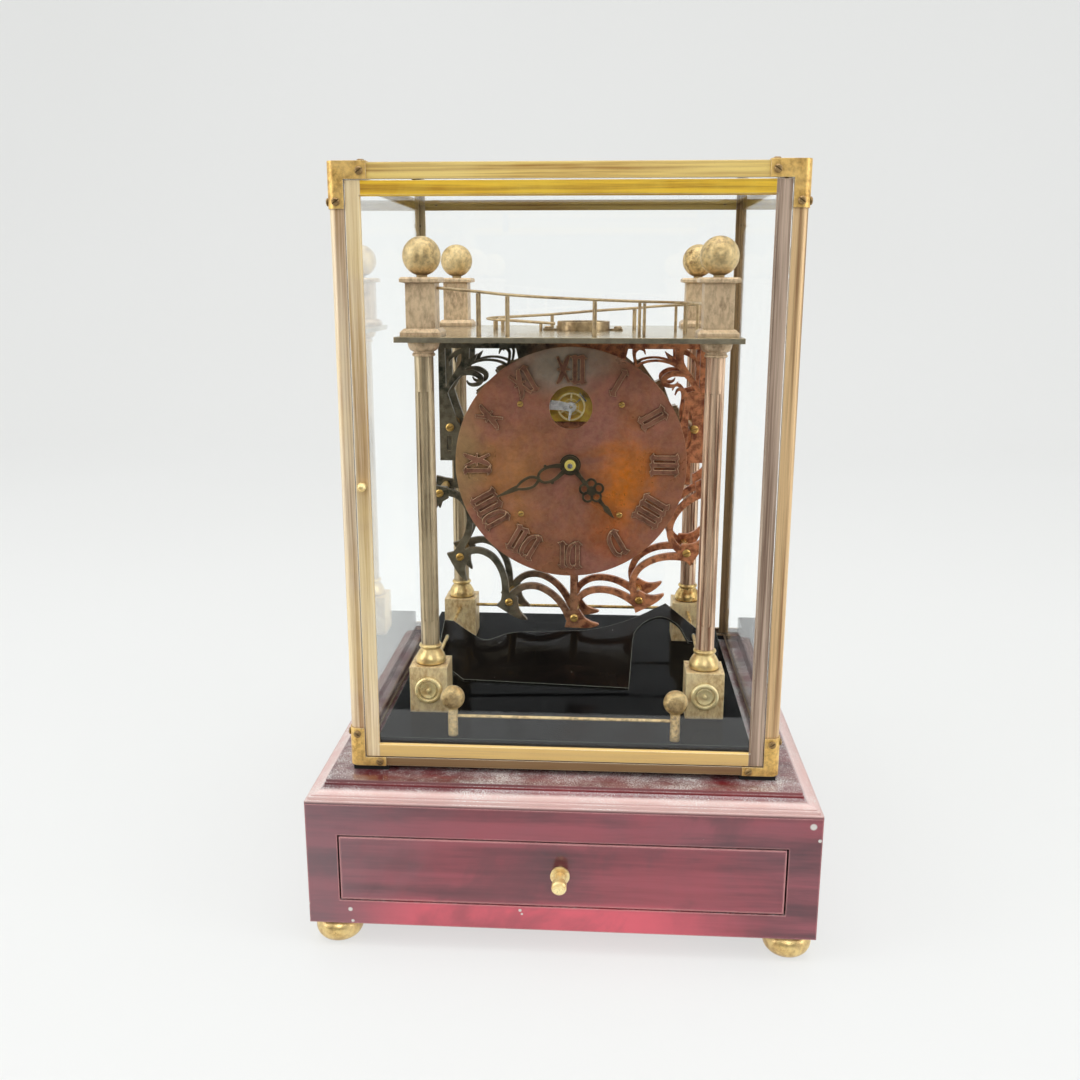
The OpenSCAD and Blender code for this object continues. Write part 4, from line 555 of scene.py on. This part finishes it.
def blackGlossMaterial(name, look):
    mat, tree, skin = newMaterial(name)
    marks = useGroup(tree, streaks, **look["marks"])
    rub = useGroup(tree, edges, **look["rub"])
    small = useGroup(tree, motes, Share=look["dusty"], **look["small"])["Mask"]
    large = useGroup(tree, motes, Share=look["dusty"], **look["large"])["Mask"]
    colour = blendColour(tree, times(tree, marks["Patches"], look["hazy"]), tone(*look["body"]),
                         tone(*look["haze"]))
    colour = tint(tree, colour, rub["Mask"], look["worn"], look["edge"])
    colour = blendColour(tree, sums(tree, "MAXIMUM", small, large), colour, tone(*look["dustTone"]))
    finish(tree, skin, colour, span(tree, marks["Patches"], 0, 1, *look["rough"], False), rub["Normal"])
    skin.inputs["IOR"].default_value = look["ior"]
    return mat


dress("floor_board", blackGlossMaterial("blackBoard", blackLook))
dress("ball_ramp", blackGlossMaterial("blackRamp", rampLook))

padLook = {"dark": (14, 14, 15), "light": (38, 37, 36), "nap": 2400.0, "rough": (0.85, 1.0),
           "bump": (0.5, 0.0003)}


def feltMaterial(look):
    mat, tree, skin = newMaterial("feltPads")
    nap = cloud(tree, objectPlace(tree), look["nap"], 4.0)
    colour = blendColour(tree, nap, tone(*look["dark"]), tone(*look["light"]))
    finish(tree, skin, colour, span(tree, nap, 0, 1, *look["rough"], False), bump(tree, *look["bump"], nap))
    return mat


dress("case_pads", feltMaterial(padLook))
print("black pieces made")

# Glass
paneLook = {"tint": (254, 255, 255), "clear": (0.98, 0.99, 0.985, 1), "smear": 0.03, "smearScale": 18.0,
            "smearFrom": (0.5, 0.8), "ior": 1.45}


def paneMaterial(look):
    mat, tree, skin = newMaterial("casePane")
    smear = cloud(tree, objectPlace(tree), look["smearScale"], 5.0)
    tree.links.new(span(tree, smear, *look["smearFrom"], 0.0, look["smear"]), skin.inputs["Roughness"])
    skin.inputs["Base Color"].default_value = tone(*look["tint"])
    skin.inputs["Transmission Weight"].default_value = 1.0
    skin.inputs["IOR"].default_value = look["ior"]
    path = put(tree, "ShaderNodeLightPath").outputs
    through = sums(tree, "MAXIMUM", path["Is Shadow Ray"], path["Is Diffuse Ray"])  # lets the light in
    cover(tree, through, skin, put(tree, "ShaderNodeBsdfTransparent", {"Color": look["clear"]}))
    return mat


pane = paneMaterial(paneLook)
for node in ("side_glass", "back_glass", "top_glass", "door_glass"):
    dress(node, pane)
print("glass made")

# Room and light, in metres. own is the paper's own brightness, behind its strength through glass
roomLook = {"floor": (236, 237, 235), "wall": (242, 243, 242), "own": 0.72, "behind": 1.3, "wide": 5.0,
            "front": 0.43, "back": 1.6, "rise": 2.6, "bend": 0.7, "steps": 12,
            "uneven": 0.8, "rough": 0.9, "gloss": 0.1}


def makeSweep(look):  # one sheet: floor, quarter bend and wall
    rows = [(-look["front"], 0.0)]
    for i in range(look["steps"] + 1):
        a = math.pi / 2 * i / look["steps"]
        rows.append((look["back"] + look["bend"] * math.sin(a), look["bend"] * (1 - math.cos(a))))
    rows.append((look["back"] + look["bend"], look["rise"] + look["bend"]))
    verts = [(x, y, z) for y, z in rows for x in (-look["wide"], look["wide"])]
    faces = [(2 * i, 2 * i + 1, 2 * i + 3, 2 * i + 2) for i in range(len(rows) - 1)]
    mesh = bpy.data.meshes.new("sweep")
    mesh.from_pydata(verts, [], faces)
    mesh.shade_smooth()
    sweep = bpy.data.objects.new("sweep", mesh)
    bpy.context.scene.collection.objects.link(sweep)
    return sweep


def paperMaterial(look):
    mat, tree, skin = newMaterial("paperSweep")
    uneven = cloud(tree, objectPlace(tree), look["uneven"], 2.0)
    colour = blendColour(tree, uneven, tone(*look["floor"]), tone(*look["wall"]))
    tree.links.new(colour, skin.inputs["Base Color"])
    skin.inputs["Roughness"].default_value = look["rough"]
    skin.inputs["Specular IOR Level"].default_value = look["gloss"]
    path = put(tree, "ShaderNodeLightPath").outputs
    seen = sums(tree, "MAXIMUM", path["Is Glossy Ray"], path["Is Transmission Ray"])
    seen = sums(tree, "MAXIMUM", path["Is Camera Ray"], seen)
    power = span(tree, path["Is Transmission Ray"], 0.0, 1.0, 1.0, look["behind"], False)
    shine = put(tree, "ShaderNodeEmission", {"Color": colour, "Strength": power})
    cover(tree, times(tree, seen, look["own"]), skin, shine)
    return mat


makeSweep(roomLook).data.materials.append(paperMaterial(roomLook))

# The sky by its direction: from level to zenith, and dim towards the front and low down
studioLook = {"zenith": 0.85, "level": 0.66, "dim": 0.04, "shown": 0.9, "tone": (0.98, 0.99, 1.0, 1),
              "sky": (-0.1, 0.9), "front": (-0.5, -0.8), "under": (0.5, 0.25)}


def makeWorld(look):
    world = bpy.data.worlds.new("studio")
    bpy.context.scene.world = world
    world.use_nodes = True
    tree = world.node_tree
    tree.nodes.clear()
    way = axes(tree, put(tree, "ShaderNodeTexCoord").outputs["Generated"])
    high = span(tree, way["Z"], *look["sky"], look["level"], look["zenith"])
    front = span(tree, way["Y"], *look["front"])   # a dim room beyond the table's front edge
    under = span(tree, way["Z"], *look["under"])
    room = span(tree, times(tree, front, under), 0.0, 1.0, 1.0, look["dim"], False)
    seen = put(tree, "ShaderNodeLightPath").outputs["Is Camera Ray"]
    power = put(tree, "ShaderNodeMix", {0: seen, 2: times(tree, high, room), 3: look["shown"]}).outputs[0]
    glow = put(tree, "ShaderNodeBackground", {"Color": look["tone"], "Strength": power})
    out = tree.nodes.new("ShaderNodeOutputWorld")
    tree.links.new(glow.outputs[0], out.inputs["Surface"])


makeWorld(studioLook)

lamps = {"overhead": {"place": (0.0, -0.1, 1.5), "aim": (0, 0, 0.2), "size": (1.3, 1.0), "power": 8.0},
         "leftBox": {"place": (-1.25, -0.55, 0.75), "aim": (0, 0, 0.22), "size": (0.7, 1.1), "power": 6.5},
         "rightBox": {"place": (1.2, -0.5, 0.7), "aim": (0, 0, 0.22), "size": (0.6, 1.1), "power": 5.0},
         "frontBox": {"place": (0.1, -1.9, 1.2), "aim": (0, 0, 0.2), "size": (0.8, 0.5), "power": 6.0}}
for name, lamp in lamps.items():
    data = bpy.data.lights.new(name, "AREA")
    data.shape = "RECTANGLE"
    data.size, data.size_y = lamp["size"]
    data.energy = lamp["power"]
    o = bpy.data.objects.new(name, data)
    o.location = lamp["place"]
    o.rotation_euler = (Vector(lamp["aim"]) - Vector(lamp["place"])).to_track_quat("-Z", "Y").to_euler()
    bpy.context.scene.collection.objects.link(o)
print("room and lamps made")
